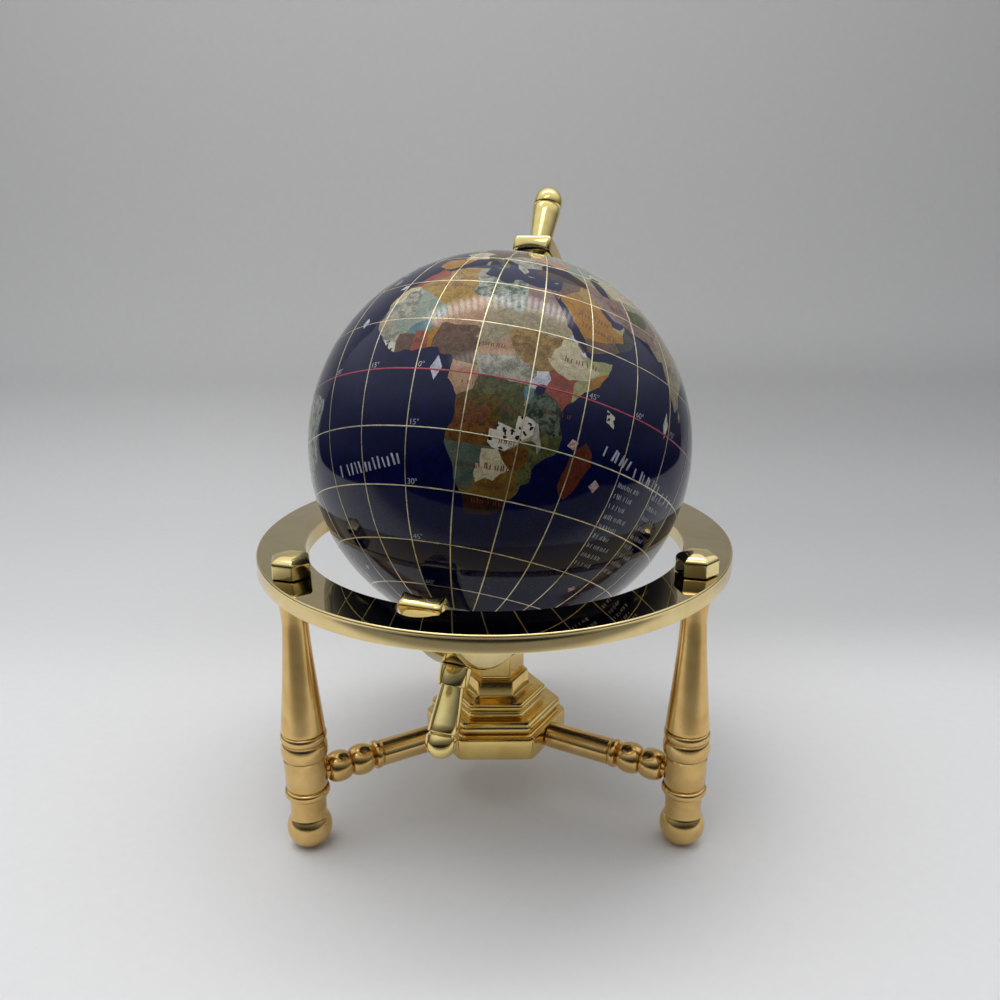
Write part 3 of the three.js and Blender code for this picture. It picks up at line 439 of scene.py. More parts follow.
# Stones by land. The first outline that holds a place gives its stone, the last name is for the rest.
stoneOutlines = [
    ("waters", "lapis", "31.7 -0.5,32.5 0.4,34.2 0.3,34 -1.2,33.4 -2.3,32 -2.7,31.6 -1.6"),
    ("waters", "lapis", "47.5 45,50 46.8,53 46.5,51 44.5,53 41.5,53.8 37.2,50.5 37,49 39.5,48 42.5"),
    ("morocco", "redJasper", "-20 27.6,-20 37,-5 36.5,-2 36,-1.3 32.2,-3.5 31,-8.7 28.8,-8.7 27.6"),
    ("westSahara", "cream", "-20 27.6,-8.7 27.6,-8.7 26,-12 26,-12 23.4,-13 21.3,-20 21.3"),
    ("mauritania", "paleMoss", "-20 21.3,-13 21.3,-13 23.4,-12 23.4,-12 26,-8.7 26,-8.7 27.3,-4.8 25,-6.5 25,"
                               "-5.5 15.5,-9.5 15.4,-12 14.8,-16.5 16.1,-20 16.1"),
    ("mali", "teal", "-4.8 25,1.2 21.1,1.8 20.3,4.2 19.2,4.2 17,3.5 15.4,0.2 15,-2 14.2,-4 13.2,-5.3 11.8,-6 10.2,"
                     "-8 10.2,-9 12.3,-11.4 12.4,-12 14.8,-9.5 15.4,-5.5 15.5,-6.5 25"),
    ("tunisia", "paleMoss", "8.4 38,8.3 35,7.5 33.5,9.3 30.2,11.5 32.5,11.5 38"),
    ("algeria", "mustard", "-8.7 28.7,-8.7 27.3,-4.8 25,1.2 21.1,1.8 20.3,3.2 19.1,4.2 19.2,5.8 19.5,12 23.5,"
                           "10 24.5,9.4 26.3,9.8 28.5,9.3 30.2,7.5 33.5,8.3 35,8.4 38,-2 38,-1.3 32.2,-3.5 31"),
    ("libya", "moss", "11.5 34,9.3 30.2,9.8 28.5,9.4 26.3,10 24.5,12 23.5,14.2 22.6,16 23.4,24 19.5,25 20,25 34"),
    ("egypt", "mauve", "25 34,25 22,36.9 22,36 26,32.6 30,34.3 32,30 34"),
    ("niger", "peach", "4.2 19.2,5.8 19.5,12 23.5,14.2 22.6,15 23,15.5 21,15.5 16.9,13.5 14.4,13.6 13.7,10 13.3,"
                       "7.5 13.1,5.3 13.8,4 13.5,3.6 11.7,2.4 12.3,1 13.4,0.2 15,3.5 15.4,4.2 17"),
    ("chad", "sand", "15 23,24 19.5,24 15.7,22.5 14.2,22.3 12.7,22.9 11,19 9,15.5 7.5,15.5 10,14 10,15 12.2,"
                     "13.6 13.7,13.5 14.4,15.5 16.9,15.5 21"),
    ("northSudan", "sand", "24 19.5,25 20,25 22,38 22,40 18,37.8 14.8,36.5 14.5,33.5 14.2,29 15,24 14.5"),
    ("southSudan", "tiger", "24 14.5,29 15,33.5 14.2,36.5 14.5,36.2 12.5,34.5 10.7,34 8.3,33 7.7,35.2 5.3,34 4.2,"
                            "31 3.6,29.5 4.3,27.4 5.2,25 7.5,24 8.7,22.9 11,22.3 12.7,22.5 14.2"),
    ("eritrea", "pearl", "38.2 15.5,38.8 18.5,41 15.5,40.6 14"),
    ("eritreaSouth", "umber", "36.5 14.5,38 15.5,40.6 14,42.5 12.2,43.5 12.8,38.5 19,36.5 17"),
    ("djibouti", "pearl", "41.8 12.5,44 13,43.5 11.2,42.2 11"),
    ("ethiopia", "cream", "36.5 14.5,37.8 14.8,40.8 14.2,42.5 12.4,41.8 11,43 9.5,44.5 8.8,47.8 8,45 5,42 4.2,"
                          "39.5 3.5,36 4.5,35.2 5.3,33 7.7,34 8.3,34.5 10.7,36.2 12.5"),
    ("somaliaChip", "honey", "45.2 5,48 7.5,50.6 8.8,50.4 6.6,46 2.2,44.6 3"),
    ("somalia", "straw", "42.7 11.5,52.5 13,52.5 5,43 -3,41 -1.8,41 3,42 4.2,45 5,47.8 8,44.5 8.8,43 9.5"),
    ("kenya", "redJasper", "34 4.2,35.2 5.3,36 4.5,39.5 3.5,42 4.2,41 3,41 -1.8,43 -3,39.5 -5.5,37.6 -3,34 -1,"
                           "34 0.3,35 2"),
    ("uganda", "pearl", "31 3.6,34 4.2,35 2,34 0.3,34 -1,29.6 -1.2,30 0.8,31.2 2.3"),
    ("rwanda", "turquoise", "28.7 -1,31 -0.8,31.4 -3,30.6 -5,29.4 -4.4,28.8 -2.5"),
    ("tanzania", "darkMoss", "30.6 -5,31.4 -3,31 -0.8,34 -1,37.6 -3,39.5 -5,42 -7,42 -11,38 -11.4,34.6 -11.5,"
                             "34 -9.5,31 -8.4,29.4 -6"),
    ("centralAfrica", "peach", "15 7.5,19 9,22.9 11,24 8.7,25 7.5,24 6.2,15 5.5"),
    ("northCongo", "paleMoss", "15 5.5,24 6.2,25 7.5,27.4 5.2,29.5 4.3,31 3.6,31.2 2.3,30 0.8,29.5 -0.5,17 0"),
    ("gabon", "peach", "8 3.2,16.2 2.3,17 0,16 -4,12 -6.2,8 -3"),
    ("greenCongo", "sage", "17 0,29.5 -0.5,28.8 -1.3,28.8 -2.5,24 -4,19 -5,16 -4"),
    ("goldCongo", "oliveGold", "11 -6.2,16 -4,19 -5,24 -4,24 -11,22 -11.2,21.5 -7.5,17 -7.8,16 -6"),
    ("eastCongo", "sage", "24 -4,28.8 -2.5,29.4 -4.4,29.4 -6,31 -8.4,28.5 -8.6,28.5 -12.3,24 -11"),
    ("cameroon", "umber", "8.5 4,9 6.5,11.5 7,13.5 10,14.5 12.8,15 12.2,14 10,15.5 10,15.5 7.5,14.5 6,15 4,"
                          "16.2 2.3,8 2.5"),
    ("nigeria", "umber", "2.6 5,2.8 9,3.6 11.7,4 13.5,5.3 13.8,7.5 13.1,10 13.3,13.6 13.7,14.5 12.8,13.5 10,"
                         "11.5 7,9 6.5,8.5 4,6 3.5"),
    ("benin", "honey", "2.6 5,2.8 9,3.6 11.7,2.4 12.3,0.8 11,1.6 6,1.4 5"),
    ("ghana", "redJasper", "-2.9 4,-2.8 11,0.8 11,1.6 6,1.4 5"),
    ("ivoryCoast", "umber", "-7.6 3.5,-8.3 7.5,-8 10.2,-6 10.2,-2.8 9.8,-2.9 4"),
    ("burkina", "turquoise", "-5.3 11.8,-4 13.2,-2 14.2,0.2 15,1 13.4,2.4 12.3,0.8 11,-2.8 11,-2.8 9.8,-5.4 10.2"),
    ("senegal", "sand", "-20 16.1,-16.5 16.1,-12 14.8,-11.4 12.4,-13.5 12.4,-16 11,-20 11"),
    ("guinea", "paleMoss", "-16 11,-13.5 12.4,-11.4 12.4,-9 12.3,-8 10.2,-8.3 7.5,-10.5 8.3,-14 8.5"),
    ("liberia", "dalmatian", "-14 8.5,-10.5 8.3,-8.3 7.5,-7.6 3.5,-13 4"),
    ("angola", "amber", "9 -6,16 -6,17 -7.8,21.5 -7.5,22 -11.2,24 -11,24 -13,22 -13,22 -16.5,23.5 -17.6,"
                        "18.5 -17.6,14 -17.4,10 -17.2"),
    ("zambia", "dalmatian", "22 -13,24 -13,24 -11,28.5 -12.3,28.5 -8.6,31 -8.4,33.3 -9.7,33.2 -12.5,30.2 -15,"
                            "27 -18,25.2 -17.8,23.5 -17.6,22 -16.5"),
    ("malawi", "paleMoss", "33.3 -9.7,34 -9.5,34.6 -11.5,36 -15,35.3 -17,34.5 -14.5,33 -14"),
    ("mozambique", "sage", "34.6 -11.5,38 -11.4,42 -11,42 -17,37 -22,36 -27.3,32 -26.8,31.5 -22.3,33 -19.5,33 -16.5,"
                           "30.3 -15.7,30.2 -15,33.2 -14,34.5 -14.5,35.3 -17,36 -15"),
    ("zimbabwe", "amber", "25.2 -17.8,27 -18,30.3 -15.7,33 -16.5,33 -19.5,31.5 -22.3,29.3 -22.2,27.5 -20.8"),
    ("botswana", "cream", "20 -22,21 -22,21 -18.3,25.2 -17.8,27.5 -20.8,29.3 -22.2,27 -23.7,25.5 -25.7,23 -25.3,"
                          "20.8 -26.8,20 -24.8"),
    ("namibia", "deepTeal", "10 -17.2,14 -17.4,18.5 -17.6,23.5 -17.6,25.2 -17.8,21 -18.3,21 -22,20 -22,20 -28.4,"
                        "16.5 -28.6,12 -30"),
    ("northCape", "ochre", "12 -28.5,36 -20,38 -27,30 -29.8,20 -29.8"),
    ("southCape", "walnut", "12 -29,20 -29.8,30 -29.8,36 -26.5,36 -36,14 -36"),
    ("madagascarStone", "brick", "41 -10,52 -10,52 -27,41 -27"),
    ("saudi", "honey", "34.5 29.5,37 31.3,39 32,42 31,46.5 29,48.5 28.7,51.6 26.5,51.5 24.3,52.5 23,55 22.7,"
                       "55.2 20,52 19,47 17,43.5 17.3,42 16,36 22,34 28"),
    ("yemen", "umber", "42 16,43.5 17.3,47 17,52 19,53.3 16.5,53 13,43 11.5"),
    ("emirates", "straw", "51.5 24.3,52.5 23,55 22.7,56 24.5,56.3 27,53 25.5"),
    ("oman", "slate", "53 13,53.3 16.5,52 19,55.2 20,55 22.7,56 24.5,56.6 27,62 24,60 17"),
    ("iraq", "mustard", "37 31.3,39 32,42 31,46.5 29,48.5 28.5,49 30.5,46 33,45.5 35.5,44.5 37.2,42.3 37.2,"
                        "41.3 34.5"),
    ("levant", "umber", "32 32.5,32 27.5,34.4 27.5,34.5 29.5,37 31.3,41.3 34.5,42.3 37.2,36.5 36.8,35 36.4"),
    ("turkey", "walnut", "25 35.5,36.5 36.2,42.3 37.2,44.5 37.2,44.5 39.8,43.5 41,41 42.5,33 43,29 41.3,25.5 40.2"),
    ("iran", "mauve", "44.5 37.2,45.5 35.5,46 33,49 30.5,48.5 28.5,57 25,61.6 24.5,63 27,61 29.8,60.6 34,61 36.5,"
                      "56 38,53.8 37.2,49 38,48 39.5,44.5 39.8"),
    ("pakistan", "mauve", "61.6 24.5,63 27,61 29.8,66.5 30,69.5 33,71.5 36.5,75 36.8,74.5 32,70.5 28,71 24.5,68 23"),
    ("afghanistan", "sage", "61 29.8,66.5 30,69.5 33,71.5 36.5,71 38.3,66.5 37.3,61 35.5,60.6 34"),
    ("india", "sand", "68 23,71 24.5,70.5 28,74.5 32,75 36.8,78.5 34.5,81 30,88 27.5,92 27,97 28,94.5 24,92.3 21,"
                      "88 20,80.5 7,76 7,68 20"),
    ("sriLankaStone", "redJasper", "79 10,82 10,82 5,79 5"),
    ("iberia", "honey", "-10 44,-1.8 43.4,3.3 42.4,3.5 41,-2 36,-10 36"),
    ("france", "cream", "-5.5 49,2 51.5,8 49,6 46.5,7.6 43.8,3.3 42.4,-1.8 43.4,-3 45"),
    ("italy", "sage", "6 46.5,13.8 46.6,12 44,19 41,17 37,12 37,7.6 43.8"),
    ("germany", "umber", "2 51.5,8 55,15 54.5,24 54.5,23 49,17 48,13.8 46.6,6 46.5,8 49"),
    ("balkans", "paleMoss", "13.8 46.6,17 48,23 49,30 46,28.5 41,27 40,24 34,19 38,16 42,12 44"),
    ("nordic", "mustard", "4 57,4 63,24 72,31 70.5,30 61,22 58,12 55.2,10.7 58.5"),
    ("ukraine", "peach", "23 49,24 54.5,33 52,40 49.5,39 46.5,33 44,30 46"),
    ("westRussia", "teal", "22 58,30 61,31 70.5,60 70,60 51,50 50,46 43,40 43,38.5 46,40 49.5,33 52,24 54.5"),
    ("kazakhstan", "cream", "50 50,60 51,70 55,80 51,87 49,80 42,70 41,56 38,51 45,46.5 46"),
    ("siberia", "moss", "60 70,60 51,70 55,80 51,87 49,98 52,110 49.5,110 79,60 79"),
    ("eastSiberia", "sand", "110 49.5,120 53,131 48,131 42.5,145 42,190 60,190 73,110 79"),
    ("mongolia", "oliveGold", "87 49,98 52,110 49.5,116 50,119 46.5,111 43,105 41.6,96 42.7,90 45.5"),
    ("china", "peach", "75 36.8,80 42,87 49,90 45.5,96 42.7,105 41.6,111 43,119 46.5,116 50,120 53,131 48,131 42.5,"
                       "124 39.8,124 30,110 18,105 22.5,98 24,97 28,88 27.5,81 30,78.5 34.5"),
    ("indochina", "redJasper", "92 21,94.5 24,97 28,98 24,105 22.5,110 20,110 8,100 9,96 14"),
    ("malaya", "straw", "98 10,104 10,104.5 1,99 1"),
    ("korea", "amber", "124 40,131 43,131 34,125 34"),
    ("eastIndies", "sage", "94 6,107 -1,118 -4,126 2,125 -6,116 -10,104 -8"),
    ("westAustralia", "mustard", "112 -10,129 -10,129 -36,112 -36"),
    ("northAustralia", "redJasper", "129 -10,138 -10,138 -26,129 -26"),
    ("southAustralia", "cream", "129 -26,141 -26,141 -40,129 -40"),
    ("eastAustralia", "moss", "138 -9,155 -9,155 -29,141 -29,141 -26,138 -26"),
    ("canada", "teal", "-141 72,-141 60,-130 54,-124 48.8,-95 49,-83 45.8,-79 43,-71 45,-60 43,-50 47,-55 72,-90 85"),
    ("alaska", "paleMoss", "-141 72,-141 60,-130 54.5,-170 50,-170 73"),
    ("westStates", "mauve", "-126 49,-104 49,-104 36,-103 29.5,-107 31.5,-117.5 32.5,-126 38"),
    ("eastStates", "honey", "-104 49,-95 49,-83 45.8,-79 43,-71 45,-66 45,-78 25,-97 25.5,-103 29.5,-104 36"),
    ("mexico", "sage", "-117.5 32.5,-107 31.5,-103 29.5,-97 25.5,-86 22,-88 17.5,-92 14,-110 18"),
    ("centralAmerica", "redJasper", "-92 14,-88 17.5,-82 16,-77 9,-80 6"),
    ("colombia", "amber", "-80 7,-77 13,-71 13,-67 6,-70 -4,-79 0"),
    ("venezuela", "dalmatian", "-71 13,-58 12,-60 5,-67 1,-67 6"),
    ("guyana", "peach", "-61 9,-50 5,-52 2,-60 1.5,-60 5"),
    ("peru", "mauve", "-82 0,-79 0,-70 -4,-70 -18,-72 -19,-83 -6"),
    ("bolivia", "cream", "-70 -10,-60 -14,-58 -20,-63 -22,-68 -23,-70 -18"),
    ("argentina", "teal", "-68 -23,-63 -22,-54 -26,-57 -34,-62 -56,-69 -56,-71 -38"),
    ("chile", "ochre", "-72 -18,-69.5 -18,-68 -23,-71 -38,-71 -50,-69 -56,-78 -56,-75 -30"),
    ("brazil", "moss", "-70 -4,-67 1,-60 1.5,-52 4.5,-33 -5,-38 -20,-53 -35,-58 -32,-54 -26,-58 -20,-60 -14,-70 -10"),
    ("ice", "pearl", "-75 84,-10 84,-10 59,-55 59,-75 77"),
    ("southIce", "pearl", "-170 -60,190 -60,190 -89,-170 -89"),
    ("rest", "sand", "-170 89,190 89,190 -89,-170 -89"),
]

# Small chips for islands, each cut as a kite: stone, centre, half width, half height, lean in degrees
islandChips = [
    ("pearl", 5.6, 0.6, 1.6, 3.4, 0), ("dalmatian", 52.8, -3.0, 1.5, 2.6, 35),
    ("shell", 44.0, -12.2, 1.6, 1.4, 20), ("shell", 53.6, -20.5, 1.7, 1.7, 10),
    ("pearl", -24.0, 15.8, 1.4, 1.8, 0), ("pearl", -16.2, 28.3, 1.7, 1.0, 20),
    ("dalmatian", 73.2, 2.6, 1.2, 3.8, 0), ("pearl", -25.5, 37.8, 1.5, 1.0, 0),
    ("pearl", -157.0, 20.5, 2.2, 1.4, -30), ("shell", -59.0, -51.7, 2.0, 1.2, 0),
    ("pearl", 178.0, -17.8, 1.4, 1.2, 0), ("pearl", -149.5, -17.6, 1.4, 1.2, 0),
    ("dalmatian", -90.6, -0.6, 1.4, 1.4, 0), ("pearl", 166.0, -21.5, 1.8, 1.1, -30),
    ("shell", 70.0, -49.3, 1.8, 1.3, 0), ("pearl", -36.5, -54.5, 1.8, 1.0, 0),
]


def kite(east, north, halfWidth, halfHeight, lean):
    angle = math.radians(lean)
    corners = ((0, halfHeight), (halfWidth, 0.2), (0, -halfHeight), (-halfWidth, -0.2))
    return [(east + x * math.cos(angle) - y * math.sin(angle), north + x * math.sin(angle) + y * math.cos(angle))
            for x, y in corners]


# Ball, its lean, and how the map is turned on it
ball = {"radius": 55.0, "centre": (1.8, 0.0, 112.5), "tilt": 33.0, "heading": 69.4, "mapTurn": 175.29,
        "gridStep": 3.0, "holeLatitude": 87.84, "holeDepth": 11.0, "cutWander": 0.28,
        "cutSeed": 7}

ballCentre = Vector(ball["centre"])
axisPlace = (Matrix.Translation(ballCentre) @ Matrix.Rotation(math.radians(ball["heading"]), 4, "Z")
             @ Matrix.Rotation(math.radians(ball["tilt"]), 4, "Y"))
mapPlace = axisPlace @ Matrix.Rotation(math.radians(ball["mapTurn"]), 4, "Z")
southPlace = axisPlace @ Matrix.Rotation(math.pi, 4, "X")


def onBall(east, north, radius=ball["radius"]):
    east, north = math.radians(east), math.radians(north)
    flat = Vector((math.cos(north) * math.cos(east), math.cos(north) * math.sin(east), math.sin(north)))
    return mapPlace @ (flat * radius)


# Hand-cut edges wander a little, the same way for both stones at a joint and on every run
noise.seed_set(ball["cutSeed"])


def wandered(east, north):
    shift = noise.noise_vector(Vector((east * 0.45, north * 0.45, 3.0))) * ball["cutWander"]
    return (east + shift.x, north + shift.y)


# Which of the points lie inside the outline
def inside(points, corners):
    result = np.zeros(len(points), bool)
    x, y = points[:, 0], points[:, 1]
    for (x1, y1), (x2, y2) in zip(corners, corners[1:] + corners[:1]):
        if y1 != y2:
            crosses = (y1 > y) != (y2 > y)
            result ^= crosses & (x < (x2 - x1) * (y - y1) / (y2 - y1) + x1)
    return result


# The outline with points every degree or two, wandering like a hand-cut edge
def fineOutline(corners):
    result = []
    for start, end in zip(corners, corners[1:] + corners[:1]):
        swap = start > end
        first, last = (end, start) if swap else (start, end)
        pieces = max(1, math.ceil(math.dist(first, last) / 1.6))
        line = [(first[0] + (last[0] - first[0]) * i / pieces, first[1] + (last[1] - first[1]) * i / pieces)
                for i in range(pieces + 1)]
        line = line[::-1] if swap else line
        result += [point if abs(point[0] - 10) >= 179.9 else wandered(*point) for point in line[:-1]]
    return result


def buildBall():
    step, top = ball["gridStep"], ball["holeLatitude"]
    points, edges, lookUp = [], [], {}

    def index(east, north):
        key = (round(east, 3), round(north, 3))
        if key not in lookUp:
            lookUp[key] = len(points)
            points.append(Vector(key))
        return lookUp[key]

    columns = int(360 / step)
    rows = [-top] + [step * i for i in range(-29, 30)] + [top]
    for north in rows:
        line = [index(-170 + step * column, north) for column in range(columns + 1)]
        if abs(north) == top:
            edges += list(zip(line[:-1], line[1:]))
    for column in (-170, 190):
        line = [index(column, north) for north in rows]
        edges += list(zip(line[:-1], line[1:]))
    lands = {name: fineOutline(outline(text)) for name, text in landOutlines.items()}
    inlays = [(stone, fineOutline(outline(text))) for name, stone, text in stoneOutlines]
    chips = [(stone, kite(*chip)) for stone, *chip in islandChips]
    for corners in [*lands.values(), *(shape for _, shape in inlays[:-2]), *(shape for _, shape in chips)]:
        ring = [index(min(max(x, -170), 190), min(max(y, -top), top)) for x, y in corners]
        edges += [(a, b) for a, b in zip(ring, ring[1:] + ring[:1]) if a != b]
    found, _, faces, *_ = delaunay_2d_cdt(points, edges, [], 0, 1e-4, False)
    flat = np.array([(point.x, point.y) for point in found])
    middles = np.array([flat[list(face)].mean(axis=0) for face in faces])

    names = list(stones)
    isLand = np.zeros(len(middles), bool)
    for corners in lands.values():
        isLand |= inside(middles, corners)
    kinds = np.full(len(middles), names.index("lapis"))
    for stone, corners in reversed(inlays):
        kinds[inside(middles, corners) & isLand] = names.index(stone)
    for stone, corners in chips:
        kinds[inside(middles, corners)] = names.index(stone)

    vertices = [onBall(*point) * mm for point in flat]
    mesh = bpy.data.meshes.new("stone_ball")
    for pole in (1, -1):
        rim = len(vertices)
        for depth in (0.0, ball["holeDepth"]):
            for column in range(columns):
                east = math.radians(-170 + step * column)
                radius = ball["radius"] * math.cos(math.radians(top))
                height = ball["radius"] * math.sin(math.radians(top)) - depth
                place = Vector((radius * math.cos(east), radius * math.sin(east), pole * height))
                vertices.append(mapPlace @ place * mm)
        for column in range(columns):
            beside = (column + 1) % columns
            wall = (rim + column, rim + beside, rim + columns + beside, rim + columns + column)
            faces.append(wall if pole < 0 else wall[::-1])
            kinds = np.append(kinds, names.index("lapis"))
        floor = tuple(rim + columns + column for column in range(columns))
        faces.append(floor if pole > 0 else floor[::-1])
        kinds = np.append(kinds, names.index("lapis"))
    mesh.from_pydata(vertices, [], faces)
    for position, name in enumerate(names):
        mesh.materials.append(makeStone(name, 7.3 * position))
    mesh.polygons.foreach_set("material_index", kinds.astype(np.int32))
    mesh.shade_smooth()
    mesh.normals_split_custom_set_from_vertices(
        [(Vector(v) / mm - ballCentre).normalized() for v in vertices])
    piece = bpy.data.objects.new("stone_ball", mesh)
    bpy.context.scene.collection.objects.link(piece)
    return piece


def onGlobe(piece, *nodes, slot="stone"):
    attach(piece, "globe")
    if nodes:
        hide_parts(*nodes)
    return piece


onGlobe(buildBall(), "globe_ball")
print("Ball inlaid")

# Wires of the grid, all laid flush with a slightly domed top
# The meridians stop short of the poles, in degrees from the equator
wires = {"spacing": 15, "width": 0.28, "rise": 0.05, "wander": 0.14, "stop": 78, "equatorWidth": 0.4}


def wireMesh(name, lines, width, material):
    vertices, faces = [], []
    for line in lines:
        start = len(vertices)
        for here in range(len(line)):
            east, north = line[here]
            before = onBall(*line[max(here - 1, 0)])
            after = onBall(*line[min(here + 1, len(line) - 1)])
            centre = onBall(east, north)
            out = (centre - ballCentre).normalized()
            side = out.cross(after - before).normalized()
            sway = noise.noise(centre * 0.06) * wires["wander"]
            thick = width * (1 + 0.25 * noise.noise(centre * 0.35))
            for across, rise in ((-0.5, 0.0), (-0.2, 0.8), (0.2, 0.8), (0.5, 0.0)):
                point = centre + side * (sway + across * thick)
                lifted = (point - ballCentre).normalized() * (ball["radius"] + 0.01 + rise * wires["rise"])
                vertices.append((ballCentre + lifted) * mm)
        for here in range(len(line) - 1):
            for lane in range(3):
                low = start + here * 4 + lane
                faces.append((low, low + 1, low + 5, low + 4))
    mesh = bpy.data.meshes.new(name)
    mesh.from_pydata(vertices, [], faces)
    mesh.flip_normals()
    return finishMesh(mesh, material, sharp=80)


goldWire = makeWire("Gold wire", (0.92, 0.82, 0.5, 1), 1.0, 0.3)
redWire = makeWire("Red line", rgb(170, 38, 66), 0.0, 0.4)
lastStep = round(wires["stop"] / 1.5)
meridians = [[(east, north * 1.5) for north in range(-lastStep, lastStep + 1)]
             for east in range(-165, 195, wires["spacing"])]
parallels = [[(east * 2.0 - 170, north) for east in range(181)]
             for north in range(-75, 90, wires["spacing"]) if north]
onGlobe(wireMesh("grid_wires", meridians + parallels, wires["width"], goldWire), slot="brass")
equator = [[(east * 2.0 - 170, 0.0) for east in range(181)]]
onGlobe(wireMesh("equator_line", equator, wires["equatorWidth"], redWire))

# Lettering is kept as plain degree numbers and rows of strokes
paleInk = makeWire("Pale ink", rgb(176, 178, 192), 0.0, 0.45)
redInk = makeWire("Red ink", rgb(104, 26, 20), 0.0, 0.5)


# Right and up along the ball's surface at a place on the map
def ballFrame(east, north, lean=0.0):
    centre = onBall(east, north)
    right = (onBall(east + 0.5, north) - centre).normalized()
    up = (onBall(east, north + 0.5) - centre).normalized()
    angle = math.radians(lean)
    return centre, right * math.cos(angle) + up * math.sin(angle), up * math.cos(angle) - right * math.sin(angle)


def pressed(centre, right, up, flatPoints):
    result = []
    for x, y in flatPoints:
        point = centre + right * x + up * y
        result.append((ballCentre + (point - ballCentre).normalized() * (ball["radius"] + 0.03)) * mm)
    return result


def degreeNumbers(name, numbers, size, material):
    vertices, faces = [], []
    for text, east, north in numbers:
        curve = bpy.data.curves.new("number", "FONT")
        curve.body = text + "°"
        curve.size = size
        carrier = bpy.data.objects.new("number", curve)
        bpy.context.scene.collection.objects.link(carrier)
        bpy.context.view_layer.update()
        flat = bpy.data.meshes.new_from_object(carrier)
        centre, right, up = ballFrame(east, north)
        start = len(vertices)
        vertices += pressed(centre, right, up,
                            [(vertex.co.x + 0.5, vertex.co.y + 0.5) for vertex in flat.vertices])
        faces += [tuple(start + corner for corner in polygon.vertices) for polygon in flat.polygons]
        bpy.data.objects.remove(carrier)
        bpy.data.meshes.remove(flat)
    mesh = bpy.data.meshes.new(name)
    mesh.from_pydata(vertices, [], faces)
    return onGlobe(finishMesh(mesh, material))


numbers = [(str(abs(east)), east, 0) for east in range(-165, 195, 15)]
numbers += [(str(abs(north)), 0, north) for north in range(-75, 90, 15) if north]
degreeNumbers("degree_numbers", numbers, 2.0, paleInk)


# Each row: start place, lean, stroke height, number of marks, spacing, seed
def strokeRows(name, rows, material):
    vertices, faces = [], []
    for east, north, lean, height, marks, spacing, seed in rows:
        picker = random.Random(seed)
        centre, right, up = ballFrame(east, north, lean)
        for mark in range(marks):
            left = mark * spacing
            for slot in range(picker.choice((1, 2, 2))):
                x = left + slot * spacing * 0.42
                thick = height * picker.uniform(0.14, 0.22)
                tall = height * picker.uniform(0.7, 1.0)
                slant = height * picker.choice((0.0, 0.0, 0.13, -0.13))
                start = len(vertices)
                corners = [(x, 0), (x + thick, 0), (x + thick + slant, tall), (x + slant, tall)]
                vertices += pressed(centre, right, up, corners)
                faces.append((start, start + 1, start + 2, start + 3))
    mesh = bpy.data.meshes.new(name)
    mesh.from_pydata(vertices, [], faces)
    return onGlobe(finishMesh(mesh, material))


oceanRows = [
    (-25.5, -28, 4, 3.2, 7, 3.3, 1), (53, -12.4, -9, 3.2, 4, 2.7, 2), (64.8, -14.6, -8, 3.2, 4, 2.7, 3),
    (77, -16.2, -5, 3.2, 4, 2.7, 4), (-150, 8, 0, 3.2, 6, 3.6, 5), (-50, 34, 0, 3.2, 7, 3.6, 6),
]
listRows = []
for line in range(9):
    listRows.append((61, -18.5 - 2.9 * line, 0, 1.35, 7 - line % 3, 1.15, 20 + line))
    listRows.append((76, -17.5 - 2.9 * line, 0, 1.35, 6 - line % 2, 1.1, 40 + line))
strokeRows("ocean_marks", oceanRows + listRows, paleInk)
nameRows = [
    (-4.5, 27.5, 0, 1.6, 6, 1.7, 60), (40.5, 24.5, -8, 1.7, 5, 1.8, 61), (41.5, 20.5, -8, 1.7, 6, 1.8, 62),
    (37.5, 8.3, 0, 1.5, 6, 1.5, 63), (14, -12, 0, 1.7, 5, 1.6, 64), (14.2, -9.2, 0, 1.2, 5, 1.2, 65),
    (21, -23, 0, 1.5, 6, 1.3, 66), (23, -27.5, 0, 1.2, 6, 1.2, 67), (34.5, -6.5, 0, 1.2, 6, 1.2, 68),
    (24.3, -8.3, 0, 1.3, 4, 1.2, 69), (4.2, 9.5, 0, 1.4, 5, 1.5, 70), (15.6, 8, 0, 1.2, 5, 1.3, 71),
    (13, -3, 0, 1.1, 4, 1.3, 72), (28, -19, 0, 1.2, 5, 1.2, 73), (25, -16.2, 0, 1.2, 5, 1.2, 74),
    (-7, 7.2, 0, 1.2, 4, 0.9, 75), (-2.4, 7.6, 0, 1.2, 3, 0.9, 76), (15, -23.5, 0, 1.2, 5, 1.1, 77),
    (50, 32, 0, 1.6, 4, 2.0, 78), (36, 1.2, 0, 1.2, 4, 1.2, 79), (75, 20, 0, 1.7, 4, 1.9, 80),
    (20.5, -32, 0, 1.2, 6, 1.3, 81),
]
strokeRows("stone_marks", nameRows, redInk)
print("Wires and marks laid")

# Curved arm
arm = {"gap": 4.4, "thickness": 5.4, "width": 11.8, "edge": 1.1, "hollow": 1.2, "endRound": 1.3,
       "northEnd": 26.0, "southEnd": 245.5, "steps": 120}


# Across the bar: its outer face is flat with round edges, its inner face is hollow
def armSection(trim):
    inner = ball["radius"] + arm["gap"]
    outer = inner + arm["thickness"]
    half = arm["width"] / 2
    edge = arm["edge"]
    points = []
    for sideways in (-1, 1):
        for step in range(6):
            a = math.radians(90 * step / 5)
            swing = a if sideways < 0 else math.radians(90) - a
            across = sideways * (half - edge + edge * math.cos(swing))
            points.append((outer - edge + edge * math.sin(swing) - trim, across - sideways * trim))
    for step in range(15):
        x = 1 - 2 * step / 14
        lip = 0.35 * max(0.0, abs(x) - 0.88) / 0.12
        depth = arm["hollow"] * (1 - x * x) + lip
        points.append((inner + depth + trim, x * (half - trim)))
    return points


